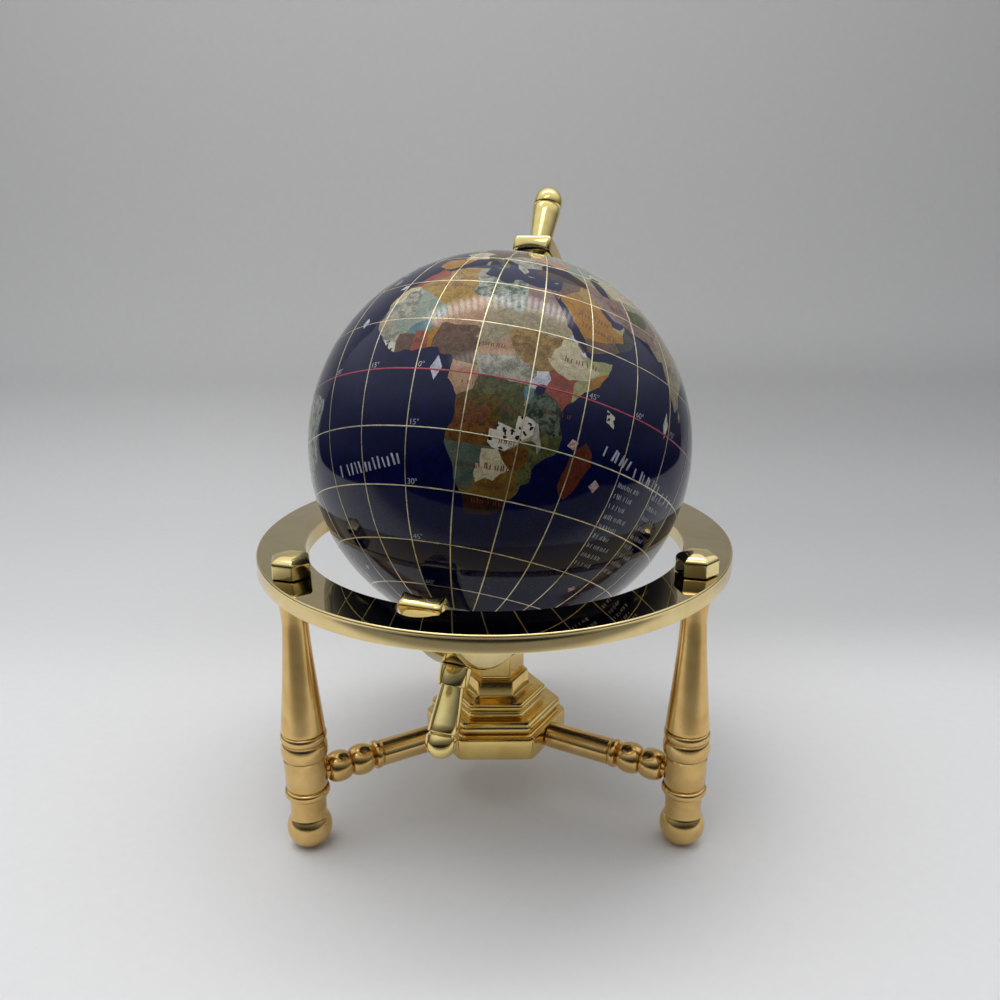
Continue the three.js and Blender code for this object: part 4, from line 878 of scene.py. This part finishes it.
def buildArm():
    inner, outer = ball["radius"] + arm["gap"], ball["radius"] + arm["gap"] + arm["thickness"]
    angles = [arm["northEnd"] + (arm["southEnd"] - arm["northEnd"]) * i / arm["steps"]
              for i in range(arm["steps"] + 1)]
    slip = math.degrees(arm["endRound"] / outer)
    rounding = [(1 - math.cos(a), 1 - math.sin(a)) for a in (math.radians(22.5 * i) for i in range(4))]
    stations = [(angles[0] + slip * along, arm["endRound"] * trim) for along, trim in rounding]
    stations += [(angle, 0.0) for angle in angles if angles[0] + slip <= angle <= angles[-1] - slip]
    stations += [(angles[-1] - slip * along, arm["endRound"] * trim) for along, trim in reversed(rounding)]
    rings = []
    heading = math.radians(ball["heading"])
    for angle, trim in stations:
        a = math.radians(angle)
        out = Vector((math.sin(a) * math.cos(heading), math.sin(a) * math.sin(heading), math.cos(a)))
        side = Vector((-math.sin(heading), math.cos(heading), 0))
        rings.append([ballCentre + out * radius + side * across for radius, across in armSection(trim)])
    return stand(skin("curved_arm", rings, brass["Arm brass"], sharp=50), "meridian_arm")


buildArm()

# Finials and the pins that carry the ball, measured from the ball's centre
finial = {"pinEnd": 46.0, "pin": 2.0, "seat": 64.8, "base": 3.2, "tip": 4.3, "length": 12.8, "groove": 0.45,
          "grooveWidth": 0.7, "straight": 1.8, "dome": 4.3, "collar": 4.35, "collarLength": 5.7}


def buildFinial(name, place, collar, solid):
    f = finial
    start = f["seat"] + collar
    end = start + f["length"]
    profile = [(0.6, f["pinEnd"]), (f["pin"] - 0.3, f["pinEnd"]), (f["pin"], f["pinEnd"] + 0.3),
               (f["pin"], f["seat"])]
    if collar:
        profile += [(f["collar"] - 0.35, f["seat"]), (f["collar"] - 0.08, f["seat"] + 0.12)]
        profile += [(f["collar"], f["seat"] + 0.4), (f["collar"], start - 0.4)]
        profile += [(f["collar"] - 0.1, start - 0.12), (f["collar"] - 0.4, start)]
    profile += [(f["base"], start), (f["base"] + 0.02, start + 0.5)]
    profile += [(f["base"] + (f["tip"] - f["base"]) * i / 6, start + (f["length"] - 0.3) * i / 6)
                for i in range(1, 7)]
    grooveFloor = f["tip"] - f["groove"]
    profile += [(f["tip"] - 0.1, end - 0.06), (grooveFloor, end + f["grooveWidth"] * 0.3)]
    profile += [(grooveFloor, end + f["grooveWidth"] * 0.7), (f["tip"] - 0.1, end + f["grooveWidth"] + 0.06)]
    domeStart = end + f["grooveWidth"] + f["straight"]
    profile += [(f["tip"], end + f["grooveWidth"] + 0.3)]
    profile += [(f["tip"] * math.cos(a), domeStart + f["dome"] * math.sin(a))
                for a in (math.radians(88 * i / 14) for i in range(15))]
    return stand(turnedPiece(name, profile, brass["Arm brass"], place, steps=64), solid)


buildFinial("top_finial", axisPlace, 0.0, "finial_north")
buildFinial("bottom_finial", southPlace, finial["collarLength"], "finial_south")
print("Arm and finials shaped")

# Horizon ring
ring = {"outer": 69.7, "inner": 55.7, "top": 84.7, "thickness": 5.0, "lip": 0.55, "edge": 0.35, "steps": 240,
        "slotStart": 20.0, "slotEnd": 62.9, "slotWidth": 13.0, "cutMargin": 2.0}


# Cuts the pieces in the list out of the first one and clears them away
def cutFrom(piece, cutters):
    for cutter in cutters:
        change = piece.modifiers.new("cut", "BOOLEAN")
        change.object = cutter
        change.operation = "DIFFERENCE"
        change.solver = "EXACT"
    bpy.context.view_layer.update()
    graph = bpy.context.evaluated_depsgraph_get()
    mesh = bpy.data.meshes.new_from_object(piece.evaluated_get(graph))
    piece.modifiers.clear()
    piece.data = mesh
    for cutter in cutters:
        bpy.data.objects.remove(cutter)
    mesh.set_sharp_from_angle(angle=math.radians(38))


def buildRing():
    r = ring
    bottom = r["top"] - r["thickness"]
    lipCentre = r["outer"] - r["lip"]
    profile = [(r["inner"] + r["edge"], r["top"]), (r["inner"], r["top"] - r["edge"])]
    profile += [(r["inner"], bottom + r["edge"]), (r["inner"] + r["edge"], bottom)]
    profile += [(r["outer"] - 0.5, bottom), (r["outer"] - 0.12, bottom + 0.16), (r["outer"], bottom + 0.5)]
    profile += [(r["outer"], r["top"] - 2.4 * r["lip"]), (r["outer"] - 0.07, r["top"] - 1.9 * r["lip"])]
    profile += [(lipCentre + r["lip"] * math.cos(a), r["top"] - r["lip"] + r["lip"] * math.sin(a))
                for a in (math.radians(-20 + 110 * i / 10) for i in range(11))]
    rings = [circle(radius, height, r["steps"]) for radius, height in profile]
    piece = skin("flat_ring", rings, brass["Ring brass"], closed=True)
    cutters = []
    half = r["slotWidth"] / 2
    for turned in (0.0, math.pi):
        heading = math.radians(ball["heading"]) + turned
        place = Matrix.Translation((ballCentre.x, ballCentre.y, 0)) @ Matrix.Rotation(heading, 4, "Z")
        shape = [(r["slotStart"], half), (r["slotStart"], -half)]
        shape += [(r["slotEnd"] - half + half * math.cos(a), half * math.sin(a))
                  for a in (math.radians(180 * i / 40 - 90) for i in range(41))]
        ends = (bottom - r["cutMargin"], r["top"] + r["cutMargin"])
        levels = [[place @ Vector((x, y, z)) for x, y in shape] for z in ends]
        cutters.append(skin("slot", levels, brass["Ring brass"]))
    cutFrom(piece, cutters)
    # Faces that look straight up are polished like a mirror and take a darker copy of the ring brass: painted shade
    # on the top
    piece.data.materials.append(brass["Ring top brass with painted shade"])
    for polygon in piece.data.polygons:
        polygon.material_index = 1 if polygon.normal.z > 0.97 else 0
    return stand(piece, "horizon_ring")


buildRing()

# Legs. Points are (radius, height); a bead is its radius, bottom, top, depth and number of steps
leg = {
    "circle": 63.0,
    "floorRadius": 0.6,
    "footRadius": 6.5,
    "footCentre": 6.1,
    "footArc": (-69.5, 36.0),
    "neck": [(5.16, 10.6), (5.2, 13.5), (5.3, 16.4)],
    "lowBead": (6.5, 16.8, 19.4, 0.9, 10),
    "shaft": [(5.65, 19.6), (5.95, 20.2), (6.0, 24.0), (6.15, 28.7), (5.8, 29.1)],
    "wideBead": (6.65, 29.3, 34.5, 0.75, 14),
    "thinBead": (6.6, 34.7, 37.4, 0.7, 10),
    "taperFoot": [(6.0, 37.5), (6.25, 37.9)],
    "taper": [(6.25, 38.0), (5.4, 46.8), (4.62, 55.5), (4.05, 62.5), (3.65, 69.5), (3.72, 73.0), (4.05, 76.3),
              (4.45, 78.6), (4.72, 79.2)],
    "headEdge": 4.6,
    "headTop": 79.4,
    "stud": 2.0,
    "studTop": 88.2,
}
legHeadings = {"right": -30.0, "left": 210.0, "back": 90.0}


def buildLeg(side):
    low, high = leg["footArc"]
    foot = [(leg["footRadius"] * math.cos(a), leg["footCentre"] + leg["footRadius"] * math.sin(a))
            for a in (math.radians(low + (high - low) * i / 24) for i in range(25))]
    profile = [(leg["floorRadius"], 0.0)] + foot + leg["neck"]
    profile += bulge(*leg["lowBead"]) + leg["shaft"] + bulge(*leg["wideBead"]) + bulge(*leg["thinBead"])
    profile += leg["taperFoot"] + smoothProfile(leg["taper"])
    profile += [(leg["headEdge"], leg["headTop"]), (leg["stud"], leg["headTop"]), (leg["stud"], leg["studTop"])]
    heading = math.radians(legHeadings[side])
    place = Matrix.Translation((leg["circle"] * math.cos(heading), leg["circle"] * math.sin(heading), 0))
    piece = turnedPiece("turned_leg_" + side, profile, brass["Leg brass"], place, steps=80, sharp=32)
    return stand(piece, "leg_" + side)


# Acorn nuts. The six faces run on over the dome, and each nut is turned by hand to its own angle
nut = {"radius": 5.9, "flats": 3.3, "height": 6.2, "bottom": 85.0, "corner": 0.5,
       "turns": {"right": 14, "left": 12, "back": 0}, "levels": 14}


def buildNut(side):
    heading = math.radians(legHeadings[side])
    centre = Vector((leg["circle"] * math.cos(heading), leg["circle"] * math.sin(heading), nut["bottom"]))
    start = math.radians(nut["turns"][side]) - turn / 4
    profile = [(nut["radius"] - 0.2, 0.0), (nut["radius"], 0.2), (nut["radius"] - 0.1, nut["flats"] - 0.1)]
    for level in range(1, nut["levels"] + 1):
        share = level / nut["levels"]
        profile.append((nut["radius"] * max(0.04, (1 - share**2.4)**0.62),
                        nut["flats"] + (nut["height"] - nut["flats"]) * share**0.8))
    rings = []
    for radius, rise in profile:
        corners = roundedHexagon(radius, rise, min(nut["corner"], radius * 0.4), start)
        rings.append([centre + point for point in corners])
    return stand(skin("domed_nut_" + side, rings, brass["Nut brass"], sharp=34), "acorn_nut_" + side)


# Bars from the hub to the legs, measured from the stand's centre line
bar = {"height": 22.6, "start": 15.7, "face": 19.53, "end": 59.0, "pin": 2.5, "radius": 3.9, "crease": 3.5,
       "band": 4.25, "bandStart": 40.15, "bandEnd": 42.25, "bandDepth": 0.55, "neck": 2.9,
       "ball": 4.6, "ballStart": 42.75, "ballLength": 6.9, "ballDepth": 1.7, "ballSteps": 20}


def buildBar(side):
    b = bar
    middle = b["ballStart"] + b["ballLength"]
    last = middle + b["ballLength"]
    profile = [(0.6, b["start"]), (b["pin"], b["start"]), (b["pin"], b["face"]), (b["radius"] - 0.2, b["face"])]
    profile += [(b["radius"], b["face"] + 0.2), (b["radius"], b["bandStart"] - 0.5)]
    profile += [(b["crease"], b["bandStart"] - 0.1)]
    profile += bulge(b["band"], b["bandStart"], b["bandEnd"], b["bandDepth"])
    profile += [(b["neck"], b["bandEnd"] + 0.1)]
    profile += bulge(b["ball"], b["ballStart"], middle, b["ballDepth"], b["ballSteps"])[1:-1]
    profile += bulge(b["ball"], middle, last, b["ballDepth"], b["ballSteps"])
    profile += [(b["pin"], last), (b["pin"], b["end"]), (0.6, b["end"])]
    heading = math.radians(legHeadings[side])
    place = (Matrix.Translation((0, 0, b["height"])) @ Matrix.Rotation(heading, 4, "Z")
             @ Matrix.Rotation(math.pi / 2, 4, "Y"))
    piece = turnedPiece("cross_bar_" + side, profile, brass["Leg brass"], place, steps=64)
    return stand(piece, "stretcher_" + side)


for side in legHeadings:
    buildLeg(side)
    buildNut(side)
    buildBar(side)

# Hub. Points are (radius to the corners, height); a roll is its radius, bottom, top, depth and steps
hub = {
    "base": [(20.5, 19.2), (21.4, 19.25), (21.95, 19.5), (22.2, 20.1), (22.2, 25.5), (22.05, 26.0), (21.6, 26.2),
             (20.5, 26.3), (20.2, 26.6)],
    "lowRoll": (20.6, 26.8, 30.4, 1.7, 12),
    "cove": [(16.6, 30.5), (15.4, 30.7), (14.8, 31.2), (14.6, 31.9), (14.7, 32.3)],
    "highRoll": (15.9, 32.4, 34.9, 1.2, 10),
    "panel": [(12.2, 35.0), (11.2, 35.15), (10.75, 35.5), (10.6, 36.2), (10.3, 39.7), (10.1, 40.1), (9.4, 40.3)],
    "groove": [(8.6, 40.4), (8.6, 41.1)],
    "prism": [(8.85, 41.25), (9.0, 41.6), (9.0, 49.6)],
    "narrow": 9.0,
    "wide": 22.0,
    "baseRounding": 2.4,
    "topRounding": 1.2,
    "seatRadius": 64.8,
}


# The corners are rounder low down, and the top is hollowed to seat the arm
def buildHub():
    profile = hub["base"] + bulge(*hub["lowRoll"]) + hub["cove"] + bulge(*hub["highRoll"])
    profile += hub["panel"] + hub["groove"] + hub["prism"]
    rings = []
    for radius, height in profile:
        share = min(max((radius - hub["narrow"]) / (hub["wide"] - hub["narrow"]), 0), 1)
        rounding = hub["topRounding"] + (hub["baseRounding"] - hub["topRounding"]) * share
        rings.append(roundedHexagon(radius, height, rounding))
    top = []
    heading = math.radians(ball["heading"])
    for point in rings[-1]:
        along = (point.x - ballCentre.x) * math.cos(heading) + (point.y - ballCentre.y) * math.sin(heading)
        height = ballCentre.z - math.sqrt(hub["seatRadius"]**2 - along**2)
        top.append(Vector((point.x, point.y, height)))
    rings[-1] = top
    return stand(skin("stepped_hub", rings, brass["Hub brass"], sharp=34), "hub")


buildHub()
print("Stand shaped")

# Paper sweep, lamps and room, in metres. A fade is its start, its end, and its values there
studio = {
    "floorFront": -0.32,
    "wallAt": 0.33,
    "bend": 0.07,
    "halfWidth": 0.46,
    "wallTop": 0.45,
    "tones": (0.7, 0.74),
    # Painted shade: the floor darkens towards the front and the wall darkens going up
    "frontShade": (-0.18, -0.092, 0.28, 1.0),
    "wallShade": (0.02, 0.2, 1.0, 0.91),
    # Painted shadow of the globe: a soft dark patch on the paper behind it on the right
    "shadowAcross": (-0.2, 0.08, 0.09, 0.26),
    "shadowBack": (0.05, 0.14, 0.0, 1.0),
    "shadowHeight": (0.03, 0.11, 1.0, 0.0),
}


def buildSweep():
    material, tree, shader = newMaterial("Studio paper")
    place = node(tree, "TexCoord").outputs["Object"]
    fibres = node(tree, "TexNoise", {"Vector": place, "Scale": 260.0, "Detail": 4.0}).outputs[0]
    low, high = studio["tones"]
    tone = node(tree, "MapRange", {"Value": fibres, "To Min": low, "To Max": high}).outputs[0]
    parts = node(tree, "SeparateXYZ", {"Vector": place}).outputs

    def fade(part, key):
        start, end, first, last = studio[key]
        return node(tree, "MapRange", {"Value": parts[part], "From Min": start, "From Max": end, "To Min": first,
                                       "To Max": last}, interpolation_type="SMOOTHSTEP").outputs[0]

    def times(first, second):
        return node(tree, "Math", {0: first, 1: second}, operation="MULTIPLY").outputs[0]

    # The sheet is darker towards the front and up the wall, both painted shade, with a painted shadow behind the
    # globe on the right
    corner = times(times(fade("X", "shadowAcross"), fade("Y", "shadowBack")), fade("Z", "shadowHeight"))
    light = node(tree, "Math", {0: 1.0, 1: corner}, operation="SUBTRACT").outputs[0]
    tone = times(times(times(tone, fade("Y", "frontShade")), fade("Z", "wallShade")), light)
    colour = node(tree, "CombineColor", {"Red": tone, "Green": tone, "Blue": tone}).outputs[0]
    tree.links.new(colour, shader.inputs["Base Color"])
    shader.inputs["Roughness"].default_value = 0.75
    s = studio
    path = [(s["floorFront"], 0.0), (-0.1, 0.0), (0.1, 0.0)]
    centre = (s["wallAt"] - s["bend"], s["bend"])
    path += [(centre[0] + s["bend"] * math.sin(a), centre[1] - s["bend"] * math.cos(a))
             for a in (math.radians(90 * i / 24) for i in range(25))]
    path += [(s["wallAt"], s["wallTop"])]
    vertices = [(x, y, z) for y, z in path for x in (-s["halfWidth"], s["halfWidth"])]
    faces = [(2 * i, 2 * i + 1, 2 * i + 3, 2 * i + 2) for i in range(len(path) - 1)]
    mesh = bpy.data.meshes.new("paper_sweep")
    mesh.from_pydata(vertices, [], faces)
    return finishMesh(mesh, material, sharp=60)


# Rows of soft-edged lamps, each row on one clear sheet
lampRows = {
    "lamp_row": {"centre": (0.0, 0.07, 0.60), "size": (0.66, 0.15), "strength": 8.6, "lamps": 28},
    "front_lamp_row": {"centre": (-0.09, -0.27, 0.62), "size": (0.36, 0.13), "strength": 4.6, "lamps": 14},
}
lampTint = (1.0, 0.98, 0.95, 1)


def buildLampRow(name):
    row = lampRows[name]
    centre, size = row["centre"], row["size"]
    material = bpy.data.materials.new(name)
    material.use_nodes = True
    tree = material.node_tree
    tree.nodes.clear()
    parts = node(tree, "SeparateXYZ", {"Vector": node(tree, "TexCoord").outputs["UV"]}).outputs
    across = node(tree, "Math", {0: parts["X"], 1: float(row["lamps"])}, operation="MULTIPLY").outputs[0]
    lampEdge = node(tree, "Math", {0: across, 1: 0.5}, operation="PINGPONG").outputs[0]
    sheetEdge = node(tree, "Math", {0: parts["Y"], 1: 0.5}, operation="PINGPONG").outputs[0]
    endEdge = node(tree, "Math", {0: parts["X"], 1: 0.5}, operation="PINGPONG").outputs[0]
    uneven = node(tree, "TexNoise", {"Vector": across, "Scale": 0.9, "Detail": 1.0}).outputs[0]
    reach = node(tree, "MapRange", {"Value": uneven, "From Min": 0.3, "From Max": 0.7, "To Min": 0.3,
                                    "To Max": 0.5}).outputs[0]
    share = node(tree, "MapRange", {"Value": lampEdge, "From Min": 0.06, "From Max": 0.4, "To Min": 0.22},
                 interpolation_type="SMOOTHSTEP").outputs[0]
    fall = node(tree, "MapRange", {"Value": sheetEdge, "From Max": reach},
                interpolation_type="SMOOTHSTEP").outputs[0]
    taper = node(tree, "MapRange", {"Value": endEdge, "From Max": 0.14}, interpolation_type="SMOOTHSTEP").outputs[0]
    amount = node(tree, "Math", {0: share, 1: fall}, operation="MULTIPLY").outputs[0]
    amount = node(tree, "Math", {0: amount, 1: taper}, operation="MULTIPLY").outputs[0]
    glow = node(tree, "Emission", {"Color": lampTint, "Strength": row["strength"]}).outputs[0]
    clear = node(tree, "BsdfTransparent").outputs[0]
    mixed = node(tree, "MixShader", {0: amount, 1: clear, 2: glow}).outputs[0]
    result = node(tree, "OutputMaterial")
    tree.links.new(mixed, result.inputs[0])
    corners = ((0, 0), (0, 1), (1, 1), (1, 0))
    vertices = [(centre[0] + (x - 0.5) * size[0], centre[1] + (y - 0.5) * size[1], centre[2]) for x, y in corners]
    mesh = bpy.data.meshes.new(name)
    mesh.from_pydata(vertices, [], [(0, 1, 2, 3)])
    layer = mesh.uv_layers.new(name="UVMap")
    for loop in mesh.loops:
        layer.data[loop.index].uv = corners[loop.vertex_index]
    mesh.materials.append(material)
    panel = bpy.data.objects.new(name, mesh)
    bpy.context.scene.collection.objects.link(panel)
    panel.visible_camera = False
    return panel


ceiling = {"place": (-0.18, -0.1, 0.7), "aim": (-0.02, -0.03, 0.0), "width": 0.5, "depth": 0.4, "power": 1.3,
           "tint": (1.0, 0.99, 0.97)}


def buildCeilingLight():
    data = bpy.data.lights.new("ceiling_light", "AREA")
    data.shape = "RECTANGLE"
    data.size, data.size_y = ceiling["width"], ceiling["depth"]
    data.energy = ceiling["power"]
    data.color = ceiling["tint"]
    light = bpy.data.objects.new("ceiling_light", data)
    light.location = ceiling["place"]
    aim = Vector(ceiling["aim"]) - Vector(ceiling["place"])
    light.rotation_euler = aim.to_track_quat("-Z", "Y").to_euler()
    light.visible_glossy = False
    bpy.context.scene.collection.objects.link(light)


# A dim room, lighter overhead. Levels list how far up a place is and how bright
room = {"strength": 0.84, "sideways": 0.22, "forwards": 0.18, "top": (1.2, 1.21, 1.24, 1), "low": 0.02,
        "levels": ((0.1, 0.06), (0.2, 0.15), (0.33, 0.2), (0.45, 0.36), (0.62, 0.8), (0.8, 1.05)),
        "cool": (0.97, 1.0, 1.06)}


def buildRoom():
    world = bpy.data.worlds.new("Dim room")
    bpy.context.scene.world = world
    world.use_nodes = True
    tree = world.node_tree
    direction = node(tree, "TexCoord").outputs["Generated"]
    parts = node(tree, "SeparateXYZ", {"Vector": direction}).outputs
    sideways = node(tree, "Math", {0: parts["X"], 1: parts["X"]}, operation="MULTIPLY").outputs[0]
    lifted = node(tree, "Math", {0: parts["Y"], 1: room["forwards"], 2: parts["Z"]},
                  operation="MULTIPLY_ADD").outputs[0]
    raised = node(tree, "Math", {0: sideways, 1: room["sideways"], 2: lifted}, operation="MULTIPLY_ADD").outputs[0]
    height = node(tree, "ValToRGB", {"Fac": raised})
    ramp = height.color_ramp
    ramp.elements[0].position = 0.0
    ramp.elements[0].color = (room["low"], room["low"], room["low"], 1)
    ramp.elements[1].position = 1.0
    ramp.elements[1].color = room["top"]
    for position, tone in room["levels"]:
        stop = ramp.elements.new(position)
        stop.color = tuple(tone * share for share in room["cool"]) + (1,)
    tree.links.new(height.outputs[0], tree.nodes["Background"].inputs["Color"])
    tree.nodes["Background"].inputs["Strength"].default_value = room["strength"]


buildSweep()
for row in lampRows:
    buildLampRow(row)
buildCeilingLight()
buildRoom()

# Camera at the photograph's view: lens and sensor in millimetres, place in metres, angles in degrees
view = {"lens": 35.34, "sensor": 36, "place": (0.0018, -0.27753, 0.18375), "angles": (72.38, 0.295, -0.069),
        "nearest": 0.01}


def buildCamera():
    camera = bpy.data.cameras.new("photo_camera")
    camera.lens = view["lens"]
    camera.sensor_width = view["sensor"]
    camera.clip_start = view["nearest"]
    viewer = bpy.data.objects.new("photo_camera", camera)
    viewer.location = view["place"]
    viewer.rotation_euler = [math.radians(angle) for angle in view["angles"]]
    bpy.context.scene.collection.objects.link(viewer)
    bpy.context.scene.camera = viewer
    bpy.context.scene.view_settings.view_transform = "Standard"


buildCamera()
print("Studio lit")
